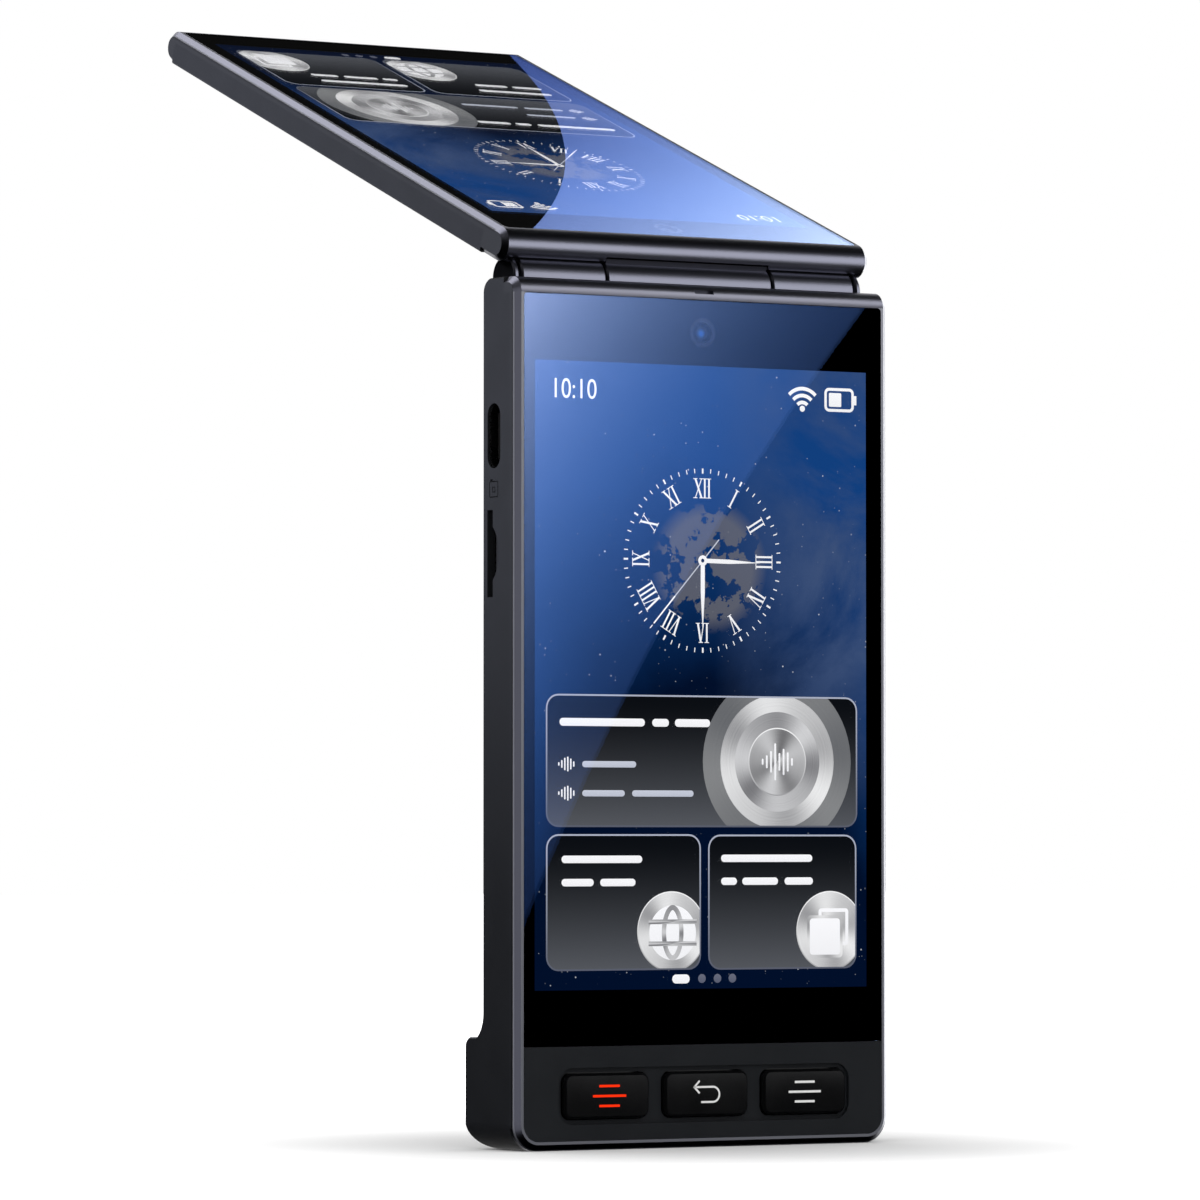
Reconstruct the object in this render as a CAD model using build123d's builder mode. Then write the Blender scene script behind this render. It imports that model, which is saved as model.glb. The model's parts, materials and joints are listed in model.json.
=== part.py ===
"""Handheld translator with two screens: a body with a thick chin, and a lid that folds flat on its back.

Sizes are millimetres. Z is up, X runs across and +Y points to the back.
The origin is the middle of the bottom face. "Depth" is measured back from the body's front face.
The lid is drawn about the hinge axis: "reach" runs along it from the hinge to its far end, and
"rise" is measured from the axis out to its screen side.
"""
from build123d import *
from math import cos, radians, sin
import os

os.makedirs("parts", exist_ok=True)

# ---- outer form of the body ----
body_width = 63.0
body_height = 123.0
body_depth = 9.1
top_roll = 2.3
top_back_radius = 2.0
bottom_corner_radius = 3.8
heel_radius = 4.8
shelf_height = 15.8
shelf_radius = 1.4
cove_radius = 4.0
cove_height = 3.4
back_edge = 0.2
side_wall = 1.3
back_wall = 1.0
chin_wall = 1.2
base_wall = 1.2

# ---- outer form of the lid ----
lid_width = 62.0
lid_thickness = 4.9
lid_gap = 0.1
lid_end_gap = 0.5
lid_proud = 0.1
lid_chamfer = 0.8
lid_lip = 0.5
lid_lean = 69.0
lid_heel = 1.2
lid_side_wall = 1.2
lid_back_wall = 0.9
lid_near_rail = 5.0
lid_far_rail = 2.9
lid_back_edge = 0.4

# ---- hinge ----
hinge_rise = 0.2
sleeve_radius = 3.2
sleeve_bore = 2.45
sleeve_length = 13.95
sleeve_edge = 0.25
knuckle_gap = 0.25
knuckle_root = 1.0
tongue_length = 12.0
tongue_thickness = 0.7
trough_end_wall = 1.8
trough_end_gap = 0.3
trough_gap = 0.3
trough_floor = 1.1
bush_radius = 2.4
bush_length = 9.0
bush_set_in = 4.1
pin_radius = 1.5
pin_hold = 5.9
pin_set_in = 1.3
running_gap = 0.05
press_gap = 0.02
leaf_width = 7.0
leaf_thickness = 1.0
leaf_set_forward = 2.05
leaf_length = 14.0
leaf_screw_drop = 11.2
leaf_screw_inset = 1.45
washer_thickness = 1.1
nut_thickness = 1.3
nut_radius = 2.2
cap_radius = 3.1
cap_thickness = 0.9
cap_groove = 0.4
plug_length = 0.7

# ---- front ----
edge_chamfer = 0.9
bezel_lip = 0.4
bezel_depth = 1.6
rail_depth = 3.4
fit_gap = 0.05
glass_thickness = 1.1
glass_corner = 0.6
ledge_width = 0.9
key_plate_height = 13.3
key_plate_thickness = 1.6
key_plate_seam = 0.1
window_corner = 2.5
sensor_slot_width = 3.2
sensor_slot_height = 0.6

# ---- screens ----
screen_side = 3.5
screen_base = 22.5
screen_drop = 11.7
panel_side_border = 1.0
panel_top_border = 1.2
panel_foot = 3.8
panel_thickness = 1.5
tray_thickness = 0.65
tray_inset = 0.4
lid_screen_side = 4.0
lid_screen_start = 10.2
lid_panel_side_border = 1.4
lid_panel_foot = 1.25
lid_panel_top_border = 2.3
lid_glass_thickness = 0.7
lid_panel_thickness = 1.4
lid_tray_thickness = 0.6

# ---- keys on the chin ----
key_width = 14.1
key_height = 6.4
key_pitch = 16.65
key_row = 7.6
key_corner = 1.3
key_edge = 0.35
key_gap = 0.15
key_travel = 0.4
key_recess_width = 48.9
key_recess_height = 8.0
key_recess_corner = 2.3
key_recess_depth = 0.5
key_proud = 0.4
key_flange = 0.5
key_flange_thickness = 0.6
key_flange_gap = 0.15
membrane_margin = 1.3
membrane_thickness = 0.55
dome_radius = 2.0
dome_height = 0.3
key_board_side_gap = 1.7
key_board_height = 10.2

# ---- keys on the right side ----
side_key_depth = 5.1
side_key_width = 2.2
side_key_proud = 0.5
side_key_edge = 0.3
side_flange_thickness = 0.6
side_flange_gap = 0.4
side_flange = 0.7
power_key_drop = 17.0
power_key_length = 9.0
rocker_spacing = 18.0
rocker_length = 18.0
rocker_switch_pitch = 12.0
switch_length = 3.0
switch_width = 2.2
switch_height = 1.2

# ---- ports on the left side ----
port_drop = 22.35
port_depth = 6.05
port_length = 9.2
port_width = 3.5
port_gap = 0.12
port_shell_wall = 0.3
port_shell_start = 0.3
port_shell_length = 7.4
tongue_start = 0.9
port_tongue_width = 6.7
port_tongue_thickness = 0.7
card_spacing = 16.6
card_depth = 7.1
card_slot_length = 12.3
card_slot_width = 1.5
card_socket_length = 14.6
card_socket_wall = 0.3
notch_radius = 5.1
notch_set_back = 9.8
notch_depth = 0.6

# ---- inside ----
chassis_thickness = 0.8
chassis_foot = 15.2
plate_side_gap = 1.6
board_thickness = 0.8
board_depth = 5.35
board_tail = 10.05
board_shoulder_drop = 15.0
board_neck_gap = 2.0
board_screw_gap = 3.05
can_height = 1.1
can_gap = 3.0
can_foot_gap = 7.0
can_shoulder_gap = 3.0
can_split = 0.63
chip_height = 0.8
processor_side = 10.0
processor_rise = 22.0
chip_side = 7.0
chip_rise = 12.0
battery_foot = 20.5
battery_gap = 3.5
battery_side_gap = 0.1
battery_corner = 1.2
antenna_thickness = 0.2
antenna_inset = 8.0
camera_drop = 6.93
camera_ring_radius = 2.2
camera_eye_radius = 1.5
camera_eye_depth = 0.75
camera_body = 4.6
camera_ring_depth = 1.35
flex_thickness = 0.15
flex_width = 12.0
flex_plug = 3.2
key_flex_width = 2.4
screw_radius = 0.7
screw_head_radius = 1.3
screw_head_height = 0.5
boss_radius = 1.9
chassis_screw_drop = 6.7
chassis_screw_top_inset = 2.6
chassis_screw_foot = 17.0
chassis_screw_foot_inset = 6.2
magnet_radius = 1.8
magnet_thickness = 1.1
magnet_cup_wall = 0.5
magnet_inset = 2.8
magnet_lid_inset = 2.4
magnet_end_gap = 8.9
speaker_width = 22.0
speaker_height = 8.4
speaker_depth = 4.0
speaker_row = 8.8
gasket_depth = 0.6
gasket_width = 0.9
grille_hole = 0.6
grille_pitch = 2.2
grille_columns = 9
microphone_inset = 8.5
microphone_side = 4.0
microphone_height = 3.0
microphone_rise = 1.7
lid_board_start = 14.0
lid_board_length = 16.0
lid_board_width = 40.0
lid_screw_reach = 9.0
lid_screw_inset = 1.9
lid_ribbon_x = 4.6
lid_ribbon_width = 3.6
lid_camera_reach = 5.7

# ---- worked out from the sizes above ----
closed_depth = body_depth + lid_gap + lid_thickness
chin_depth = closed_depth - lid_proud
front_y = -chin_depth / 2
hinge_depth = closed_depth / 2
hinge_y = front_y + hinge_depth
hinge_z = body_height + hinge_rise
lid_rise = closed_depth / 2
lid_back = lid_rise - lid_thickness
lid_nose = lid_thickness / 2
lid_middle = lid_back + lid_nose
lid_reach = hinge_z - shelf_height - lid_end_gap
lid_far_tangent = lid_reach - lid_nose
lid_rail_start = lid_reach - lid_far_rail
lid_frame_back = lid_rise - bezel_depth
lid_window_half = lid_width / 2 - lid_chamfer - lid_lip
lid_inner_half = lid_width / 2 - lid_side_wall
lid_floor = lid_back + lid_back_wall
lid_panel_top = lid_rise - lid_glass_thickness - fit_gap
lid_tray_top = lid_panel_top - lid_panel_thickness
trough_half = body_width / 2 - trough_end_wall
sleeve_outer = trough_half - trough_end_gap - cap_thickness - cap_groove
sleeve_inner = sleeve_outer - sleeve_length
knuckle_half = sleeve_inner - knuckle_gap
bush_outer = sleeve_outer - bush_set_in
bush_inner = bush_outer - bush_length
leaf_outer = (bush_inner + bush_outer + leaf_width) / 2
leaf_inner = leaf_outer - leaf_width
leaf_screw_height = hinge_z - leaf_screw_drop
pin_start = knuckle_half - pin_hold
pin_end = sleeve_outer - pin_set_in
lid_screw_places = (lid_screw_inset - knuckle_half, knuckle_half - lid_screw_inset)
trough_radius = sleeve_radius + trough_gap
lid_trough_radius = sleeve_radius + knuckle_gap
lid_trough_half = trough_half + 0.15
cavity_half = body_width / 2 - side_wall
cavity_depth = body_depth - back_wall
chin_cavity_depth = chin_depth - chin_wall
cavity_top = hinge_z - trough_radius - trough_floor
glass_top = body_height - top_roll
window_half = body_width / 2 - edge_chamfer - bezel_lip
window_foot = edge_chamfer + bezel_lip
plate_top = window_foot + key_plate_height
glass_foot = plate_top + key_plate_seam
panel_depth = glass_thickness + fit_gap
tray_depth = panel_depth + panel_thickness
chassis_depth = tray_depth + tray_thickness + fit_gap
chassis_back = chassis_depth + chassis_thickness
battery_depth = chassis_back + flex_thickness + 2 * fit_gap
board_back = board_depth + board_thickness
screen_width = body_width - 2 * screen_side
screen_length = body_height - screen_base - screen_drop
screen_top = screen_base + screen_length
lid_screen_width = lid_width - 2 * lid_screen_side
chassis_half_width = cavity_half - plate_side_gap
chassis_screw_top = body_height - chassis_screw_drop
board_half_width = cavity_half - plate_side_gap
board_shoulder = body_height - board_shoulder_drop
power_key_height = body_height - power_key_drop
rocker_height = power_key_height - rocker_spacing
port_height = body_height - port_drop
card_height = port_height - card_spacing
board_neck = 2 * (leaf_inner - board_neck_gap)
card_socket_start = fit_gap - cavity_half
card_socket_end = card_socket_start + card_socket_length
board_foot = card_height - board_tail
battery_top = board_foot - battery_gap
camera_height = body_height - camera_drop
key_board_width = 2 * (cavity_half - key_board_side_gap)
microphone_x = key_board_width / 2 - microphone_inset
flange_depth = key_plate_thickness + key_flange_gap
key_back = flange_depth + key_flange_thickness
pad_depth = key_back + key_travel + 0.1
membrane_depth = pad_depth + 0.2
dome_depth = membrane_depth + membrane_thickness
key_board_depth = dome_depth + dome_height
key_board_back = key_board_depth + board_thickness
leaf_depth = hinge_depth - leaf_set_forward
leaf_back = leaf_depth + leaf_thickness
side_flange_outer = cavity_half - side_flange_gap
side_flange_inner = side_flange_outer - side_flange_thickness
switch_reach = side_flange_inner - side_flange_gap
magnet_offset = min(cavity_half - magnet_inset, lid_inner_half - magnet_lid_inset)
magnet_reach = lid_reach - magnet_end_gap
magnet_z = hinge_z - magnet_reach
battery_width = 2 * (magnet_offset - magnet_radius - magnet_cup_wall - battery_side_gap)
keys = {"left_talk_key": -key_pitch, "home_key": 0.0, "right_talk_key": key_pitch}

lean = radians(lid_lean)
lid_out = Vector(0, -cos(lean), sin(lean))
lid_up = Vector(0, sin(lean), cos(lean))
body_side = Plane(origin=(0, front_y, 0), x_dir=(0, 1, 0), z_dir=(1, 0, 0))
lid_face = Plane(origin=(0, hinge_y, hinge_z), x_dir=(1, 0, 0), z_dir=lid_out)
lid_side = Plane(origin=(0, hinge_y, hinge_z), x_dir=lid_up, z_dir=(1, 0, 0))


def face_plane(depth):
    """The plane across the body at this depth, facing the front: x is across and y is up."""
    return Plane(origin=(0, front_y + depth, 0), x_dir=(1, 0, 0), z_dir=(0, -1, 0))


def save(piece, label):
    """Name a finished piece and write it to its own file."""
    piece.part.label = label
    export_step(piece.part, f"parts/{label}.step")


def rounded(width, height, corner):
    """A rectangle in the open sketch, rounded where it has a corner radius."""
    if corner > 0:
        RectangleRounded(width, height, corner)
    else:
        Rectangle(width, height)


def plate(x0, x1, depth0, depth1, z0, z1, corner=0.0, mode=Mode.ADD):
    """A flat piece, or a pocket, that faces the front and lies between two depths."""
    with BuildSketch(face_plane(depth1)) as outline:
        with Locations(((x0 + x1) / 2, (z0 + z1) / 2)):
            rounded(x1 - x0, z1 - z0, corner)
    extrude(outline.sketch, amount=depth1 - depth0, mode=mode)


def post(x, z, depth0, depth1, radius, mode=Mode.ADD):
    """A round post, or a hole, that runs from front to back."""
    with BuildSketch(face_plane(depth1)) as outline:
        with Locations((x, z)):
            Circle(radius)
    extrude(outline.sketch, amount=depth1 - depth0, mode=mode)


def axle(x0, x1, radius, mode=Mode.ADD):
    """A round piece, or a bore, on the hinge axis between two places across the body."""
    with BuildSketch(lid_side.offset(min(x0, x1))) as outline:
        Circle(radius)
    extrude(outline.sketch, amount=abs(x1 - x0), mode=mode)


def side_slot(x0, x1, depth, z, length, width, mode=Mode.ADD):
    """An upright round-ended piece, or a hole, that runs through a side wall."""
    with BuildSketch(body_side.offset(x0)) as outline:
        with Locations((depth, z)):
            SlotOverall(length, width, rotation=90)
    extrude(outline.sketch, amount=x1 - x0, mode=mode)


def lid_plate(x0, x1, reach0, reach1, rise0, rise1, corner=0.0, mode=Mode.ADD):
    """A flat piece, or a pocket, in the lid between two heights above the hinge axis."""
    with BuildSketch(lid_face.offset(rise0)) as outline:
        with Locations(((x0 + x1) / 2, (reach0 + reach1) / 2)):
            rounded(x1 - x0, reach1 - reach0, corner)
    extrude(outline.sketch, amount=rise1 - rise0, mode=mode)


def lid_post(x, reach, rise0, rise1, radius, mode=Mode.ADD):
    """A round post, or a hole, through the thickness of the lid."""
    with BuildSketch(lid_face.offset(rise0)) as outline:
        with Locations((x, reach)):
            Circle(radius)
    extrude(outline.sketch, amount=rise1 - rise0, mode=mode)


def chassis_screw_places():
    """Where the four chassis screws stand, as x and z."""
    for side in (-1, 1):
        yield side * (cavity_half - chassis_screw_top_inset), chassis_screw_top
        yield side * (cavity_half - chassis_screw_foot_inset), chassis_screw_foot


def board_screw_places():
    """Where the main board's two screws stand: beside the camera and beside the card socket."""
    yield board_neck / 2 - boss_radius, camera_height - 1.6
    yield card_socket_end + board_screw_gap, board_foot + boss_radius + 0.9


def leaf_screw_places():
    """Where the screws of both hinge leaves stand."""
    for side in (-1, 1):
        yield side * (leaf_inner + leaf_screw_inset), leaf_screw_height
        yield side * (leaf_outer - leaf_screw_inset), leaf_screw_height


# ---- outer forms that the shells are cut from ----

with BuildPart() as body_form:
    with BuildSketch(body_side) as profile:
        with Locations((body_depth / 2, body_height / 2)):
            Rectangle(body_depth, body_height)
        with Locations((body_depth + cove_radius / 4, shelf_height + cove_height / 2)):
            Rectangle(cove_radius / 2, cove_height)
        with Locations((body_depth + cove_radius, shelf_height + cove_height)):
            Circle(cove_radius, mode=Mode.SUBTRACT)
        with Locations((chin_depth / 2, shelf_height / 2)):
            Rectangle(chin_depth, shelf_height)
        fillet(profile.vertices().sort_by_distance((0, body_height, 0))[0], top_roll)
        fillet(profile.vertices().sort_by_distance((body_depth, body_height, 0))[0], top_back_radius)
        fillet(profile.vertices().sort_by_distance((chin_depth, shelf_height, 0))[0], shelf_radius)
    extrude(amount=body_width / 2, both=True)

with BuildPart() as cavity_form:
    with BuildSketch(body_side) as profile:
        with Locations((cavity_depth / 2, (base_wall + cavity_top) / 2)):
            Rectangle(cavity_depth, cavity_top - base_wall)
        with Locations((chin_cavity_depth / 2, (base_wall + shelf_height - chin_wall) / 2)):
            Rectangle(chin_cavity_depth, shelf_height - chin_wall - base_wall)
        heel = profile.vertices().sort_by_distance((chin_cavity_depth, base_wall, 0))[0]
        fillet(heel, heel_radius - chin_wall)
    extrude(amount=cavity_half, both=True)
    with BuildSketch(face_plane(chin_cavity_depth)) as outline:
        with Locations((0, (base_wall + cavity_top) / 2)):
            Rectangle(2 * cavity_half, cavity_top - base_wall)
        fillet(outline.vertices().group_by(Axis.Y)[0], bottom_corner_radius - side_wall)
    extrude(amount=chin_cavity_depth, mode=Mode.INTERSECT)

with BuildPart() as lid_form:
    with BuildSketch(lid_side):
        with Locations(((lid_far_tangent + lid_heel) / 2, lid_middle)):
            SlotOverall(lid_far_tangent - lid_heel + lid_thickness, lid_thickness)
    extrude(amount=lid_width / 2, both=True)


def round_off():
    """Cut the open part to the body's front outline and to its rounded heel."""
    with BuildSketch(face_plane(chin_depth)) as outline:
        with Locations((0, body_height / 2)):
            Rectangle(body_width, body_height)
        fillet(outline.vertices().group_by(Axis.Y)[0], bottom_corner_radius)
    extrude(outline.sketch, amount=chin_depth, mode=Mode.INTERSECT)
    with BuildSketch(body_side) as heel:
        with Locations((chin_depth / 2, body_height / 2)):
            Rectangle(chin_depth, body_height)
        fillet(heel.vertices().sort_by_distance((chin_depth, 0, 0))[0], heel_radius)
    extrude(heel.sketch, amount=body_width / 2, both=True, mode=Mode.INTERSECT)


def bezel_slice():
    """The side view of the front bezel: a thin slice of the front and the rolled top rail."""
    with Locations((bezel_depth / 2, body_height / 2)):
        Rectangle(bezel_depth, body_height)
    with Locations((rail_depth / 2, (glass_top + body_height) / 2)):
        Rectangle(rail_depth, body_height - glass_top)


def lid_frame_slice():
    """The side view of the lid frame: a thin slice of the screen side and both rounded ends."""
    with Locations((lid_middle + lid_reach / 2, lid_frame_back + lid_thickness / 2)):
        Rectangle(2 * lid_reach, lid_thickness)
    with Locations((lid_near_rail - lid_reach / 2, lid_middle)):
        Rectangle(lid_reach, lid_thickness)
    with Locations((lid_rail_start + lid_reach / 2, lid_middle)):
        Rectangle(lid_reach, lid_thickness)


# ---- front bezel: chamfered metal ring with a rolled top rail ----

with BuildPart() as front_bezel:
    add(body_form.part)
    with BuildSketch(body_side):
        bezel_slice()
    extrude(amount=body_width, both=True, mode=Mode.INTERSECT)
    round_off()
    rim = front_bezel.faces().sort_by(Axis.Y)[0].edges().sort_by(Axis.Z)[:-1]
    roll_ends = front_bezel.edges().filter_by(GeomType.CIRCLE).group_by(Axis.Z)[-1]
    rail_ends = front_bezel.edges().filter_by(Axis.Y).group_by(Axis.Z)[-1]
    chamfer(rim + roll_ends + rail_ends, edge_chamfer)
    with BuildSketch(face_plane(bezel_depth)) as window:
        with Locations((0, (window_foot + glass_top) / 2)):
            Rectangle(2 * window_half, glass_top - window_foot)
        fillet(window.vertices().group_by(Axis.Y)[0], window_corner)
        fillet(window.vertices().group_by(Axis.Y)[-1], glass_corner)
    extrude(amount=bezel_depth, mode=Mode.SUBTRACT)
    with BuildSketch(face_plane(bezel_depth)):
        with Locations((0, (glass_foot + glass_top) / 2)):
            Rectangle(2 * window_half + 0.2, glass_top - glass_foot + 0.2)
        with Locations((0, (glass_top - ledge_width) / 2)):
            Rectangle(2 * (window_half - ledge_width), glass_top - ledge_width, mode=Mode.SUBTRACT)
    extrude(amount=bezel_depth - panel_depth)
    plate(
        -sensor_slot_width / 2, sensor_slot_width / 2, -1.0, top_roll / 2,
        glass_top + top_roll / 2 - sensor_slot_height / 2,
        glass_top + top_roll / 2 + sensor_slot_height / 2,
        mode=Mode.SUBTRACT,
    )
save(front_bezel, "front_bezel")

# ---- main housing: one moulded tub with the side walls, the back and the coved chin ----

with BuildPart() as main_housing:
    add(body_form.part)
    with BuildSketch(body_side):
        bezel_slice()
    extrude(amount=body_width, both=True, mode=Mode.SUBTRACT)
    for face in (main_housing.faces().sort_by(Axis.X)[0], main_housing.faces().sort_by(Axis.X)[-1]):
        chamfer(face.edges().filter_by(lambda edge: edge.center().Y > front_y + body_depth - fit_gap), back_edge)
    round_off()
    add(cavity_form.part, mode=Mode.SUBTRACT)
    axle(-trough_half, trough_half, trough_radius, mode=Mode.SUBTRACT)
    plate(-trough_half, trough_half, rail_depth, hinge_depth, glass_top, body_height + 1, mode=Mode.SUBTRACT)
    # bosses for the hinge leaves, the chassis and the main board, and cups for the magnets
    for x, z in leaf_screw_places():
        post(x, z, leaf_back, cavity_depth, boss_radius)
        post(x, z, leaf_back, cavity_depth + 0.4, screw_radius + fit_gap, mode=Mode.SUBTRACT)
    for x, z in chassis_screw_places():
        post(x, z, chassis_back, cavity_depth, boss_radius)
        post(x, z, chassis_back, cavity_depth, screw_radius + fit_gap, mode=Mode.SUBTRACT)
    for x, z in board_screw_places():
        post(x, z, board_back, cavity_depth, boss_radius)
        post(x, z, board_back, cavity_depth, screw_radius + fit_gap, mode=Mode.SUBTRACT)
    for side in (-1, 1):
        post(
            side * magnet_offset, magnet_z, cavity_depth - magnet_thickness, cavity_depth,
            magnet_radius + magnet_cup_wall,
        )
        post(
            side * magnet_offset, magnet_z, cavity_depth - magnet_thickness, cavity_depth,
            magnet_radius + fit_gap, mode=Mode.SUBTRACT,
        )
    # seats for the key plate and the key board, and slots for the hinge leaves
    for side in (-1, 1):
        x0, x1 = sorted((side * (cavity_half - ledge_width), side * cavity_half))
        plate(x0, x1, key_plate_thickness, key_plate_thickness + 1.0, key_row - 4, plate_top)
        x0, x1 = sorted((side * (key_board_width / 2 - 1.0), side * cavity_half))
        plate(x0, x1, key_board_back, key_board_back + 1.0, base_wall + 2, key_row + 1)
        x0, x1 = sorted((side * (leaf_inner - 0.1), side * (leaf_outer + 0.1)))
        plate(x0, x1, leaf_depth - 0.1, leaf_back + 0.1, cavity_top - 1, hinge_z, mode=Mode.SUBTRACT)
    # left side: charging port, card slit and its thumb notch
    side_slot(
        -body_width / 2 - 1, -cavity_half + 0.5, port_depth, port_height,
        port_length, port_width, mode=Mode.SUBTRACT,
    )
    with BuildSketch(body_side.offset(-body_width / 2 - 1)) as slit:
        with Locations((card_depth, card_height)):
            Rectangle(card_slot_width, card_slot_length)
    extrude(amount=side_wall + 1.5, mode=Mode.SUBTRACT)
    with BuildSketch(body_side.offset(-body_width / 2 - 1)) as notch:
        with Locations((notch_set_back, card_height)):
            Circle(notch_radius)
        with Locations((card_depth + notch_radius, card_height)):
            Rectangle(2 * notch_radius, 2 * notch_radius, mode=Mode.SUBTRACT)
    extrude(amount=notch_depth + 1, mode=Mode.SUBTRACT)
    # right side: power key and volume rocker
    side_slot(
        cavity_half - 0.5, body_width / 2 + 1, side_key_depth, power_key_height,
        power_key_length + 2 * key_gap, side_key_width + 2 * key_gap, mode=Mode.SUBTRACT,
    )
    side_slot(
        cavity_half - 0.5, body_width / 2 + 1, side_key_depth, rocker_height,
        rocker_length + 2 * key_gap, side_key_width + 2 * key_gap, mode=Mode.SUBTRACT,
    )
    # speaker holes in the back of the chin and the microphone hole in the base
    with BuildSketch(face_plane(chin_depth + 1)) as grille:
        with Locations((0, speaker_row)):
            with GridLocations(grille_pitch, grille_pitch, grille_columns, 1):
                Circle(grille_hole)
    extrude(amount=chin_wall + 2, mode=Mode.SUBTRACT)
    with Locations((microphone_x, front_y + key_board_back + 0.6, 0)):
        Cylinder(0.4, 3 * base_wall, mode=Mode.SUBTRACT)
save(main_housing, "main_housing")

# ---- front glass and the screen behind it ----

with BuildPart() as front_glass:
    with BuildSketch(face_plane(glass_thickness)) as pane:
        with Locations((0, (glass_foot + glass_top - fit_gap) / 2)):
            Rectangle(2 * (window_half - fit_gap), glass_top - fit_gap - glass_foot)
        fillet(pane.vertices().group_by(Axis.Y)[-1], glass_corner - fit_gap)
        fillet(pane.vertices().group_by(Axis.Y)[0], 0.3)
    extrude(amount=glass_thickness)
save(front_glass, "front_glass")

panel_half = screen_width / 2 + panel_side_border
panel_low = screen_base - panel_foot
panel_high = screen_top + panel_top_border

with BuildPart() as display_panel:
    plate(-panel_half, panel_half, panel_depth, tray_depth, panel_low, panel_high, 0.5)
save(display_panel, "display_panel")

with BuildPart() as display_backlight:
    plate(
        -panel_half + tray_inset, panel_half - tray_inset, tray_depth, chassis_depth - fit_gap,
        panel_low + tray_inset, panel_high - tray_inset, 0.5,
    )
save(display_backlight, "display_backlight")

# ---- chassis plate behind the screen, with its screws ----

with BuildPart() as chassis_plate:
    plate(
        -chassis_half_width, chassis_half_width, chassis_depth, chassis_back,
        chassis_foot, cavity_top - 0.3, 1.0,
    )
    for x, z in chassis_screw_places():
        post(x, z, chassis_depth, chassis_back, screw_radius + fit_gap, mode=Mode.SUBTRACT)
    plate(
        -camera_body / 2 - 0.3, camera_body / 2 + 0.3, chassis_depth, chassis_back,
        camera_height - camera_body / 2 - 0.3, body_height, mode=Mode.SUBTRACT,
    )
    plate(
        -flex_width / 2 - 0.4, flex_width / 2 + 0.4, chassis_depth, chassis_back,
        chassis_screw_foot - 0.4, chassis_screw_foot + 0.6, mode=Mode.SUBTRACT,
    )
save(chassis_plate, "chassis_plate")


def screws(places, depth, length):
    """Flat-head screws that point to the back, with their heads in front of this depth."""
    for x, z in places:
        post(x, z, depth - screw_head_height, depth, screw_head_radius)
        post(x, z, depth, depth + length, screw_radius)


with BuildPart() as chassis_screws:
    screws(chassis_screw_places(), chassis_depth, cavity_depth - chassis_depth - 0.3)
save(chassis_screws, "chassis_screws")

with BuildPart() as hinge_screws:
    screws(leaf_screw_places(), leaf_depth, cavity_depth - leaf_depth)
save(hinge_screws, "hinge_screws")

with BuildPart() as board_screws:
    screws(board_screw_places(), board_depth, cavity_depth - board_depth - 0.2)
save(board_screws, "board_screws")

# ---- key plate, its three keys and what they press ----

with BuildPart() as key_plate:
    with BuildSketch(face_plane(key_plate_thickness)) as outline:
        with Locations((0, (window_foot + fit_gap + plate_top) / 2)):
            Rectangle(2 * (window_half - fit_gap), plate_top - window_foot - fit_gap)
        fillet(outline.vertices().group_by(Axis.Y)[0], window_corner - fit_gap)
    extrude(amount=key_plate_thickness)
    with BuildSketch(face_plane(key_recess_depth)):
        with Locations((0, key_row)):
            RectangleRounded(key_recess_width, key_recess_height, key_recess_corner)
    extrude(amount=key_recess_depth, mode=Mode.SUBTRACT)
    with BuildSketch(face_plane(key_plate_thickness)):
        with Locations([(x, key_row) for x in keys.values()]):
            RectangleRounded(key_width + 2 * key_gap, key_height + 2 * key_gap, key_corner + key_gap)
    extrude(amount=key_plate_thickness, mode=Mode.SUBTRACT)
save(key_plate, "key_plate")

for name, x in keys.items():
    with BuildPart() as key:
        plate(
            x - key_width / 2, x + key_width / 2, -key_proud, key_back,
            key_row - key_height / 2, key_row + key_height / 2, key_corner,
        )
        chamfer(key.faces().sort_by(Axis.Y)[0].edges(), key_edge)
        plate(
            x - key_width / 2 - key_flange, x + key_width / 2 + key_flange, flange_depth, key_back,
            key_row - key_height / 2 - key_flange, key_row + key_height / 2 + key_flange, key_corner,
        )
    save(key, name)

with BuildPart() as key_membrane:
    reach = key_pitch + key_width / 2 + membrane_margin
    plate(
        -reach, reach, membrane_depth, dome_depth,
        key_row - key_height / 2 - membrane_margin, key_row + key_height / 2 + membrane_margin, key_corner,
    )
    for x in keys.values():
        post(x, key_row, pad_depth, membrane_depth, dome_radius)
save(key_membrane, "key_membrane")

with BuildPart() as key_switches:
    for x in keys.values():
        post(x, key_row, dome_depth, key_board_depth, dome_radius)
save(key_switches, "key_switches")

with BuildPart() as key_board:
    plate(
        -key_board_width / 2, key_board_width / 2, key_board_depth, key_board_back,
        key_row - key_board_height / 2, key_row + key_board_height / 2, 0.8,
    )
save(key_board, "key_board")

with BuildPart() as microphone:
    low = base_wall + microphone_rise
    plate(
        microphone_x - microphone_side / 2, microphone_x + microphone_side / 2,
        key_board_back, key_board_back + 1.2, low, low + microphone_height,
    )
save(microphone, "microphone")

# ---- battery, boards and ribbons ----

with BuildPart() as battery:
    with BuildSketch(Plane.XY.offset(battery_foot)):
        with Locations((0, front_y + (battery_depth + cavity_depth - fit_gap) / 2)):
            RectangleRounded(battery_width, cavity_depth - fit_gap - battery_depth, battery_corner)
    extrude(amount=battery_top - battery_foot)
save(battery, "battery")

plug_x = 11.0
plug_half = 3.0

with BuildPart() as battery_lead:
    plate(plug_x - plug_half, plug_x + plug_half, board_back, board_back + 0.9, board_foot + 1, board_foot + 3.6)
    plate(
        plug_x - plug_half + 0.6, plug_x + plug_half - 0.6, board_back + 0.2, board_back + 0.5,
        battery_top, board_foot + 1,
    )
save(battery_lead, "battery_lead")

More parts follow.
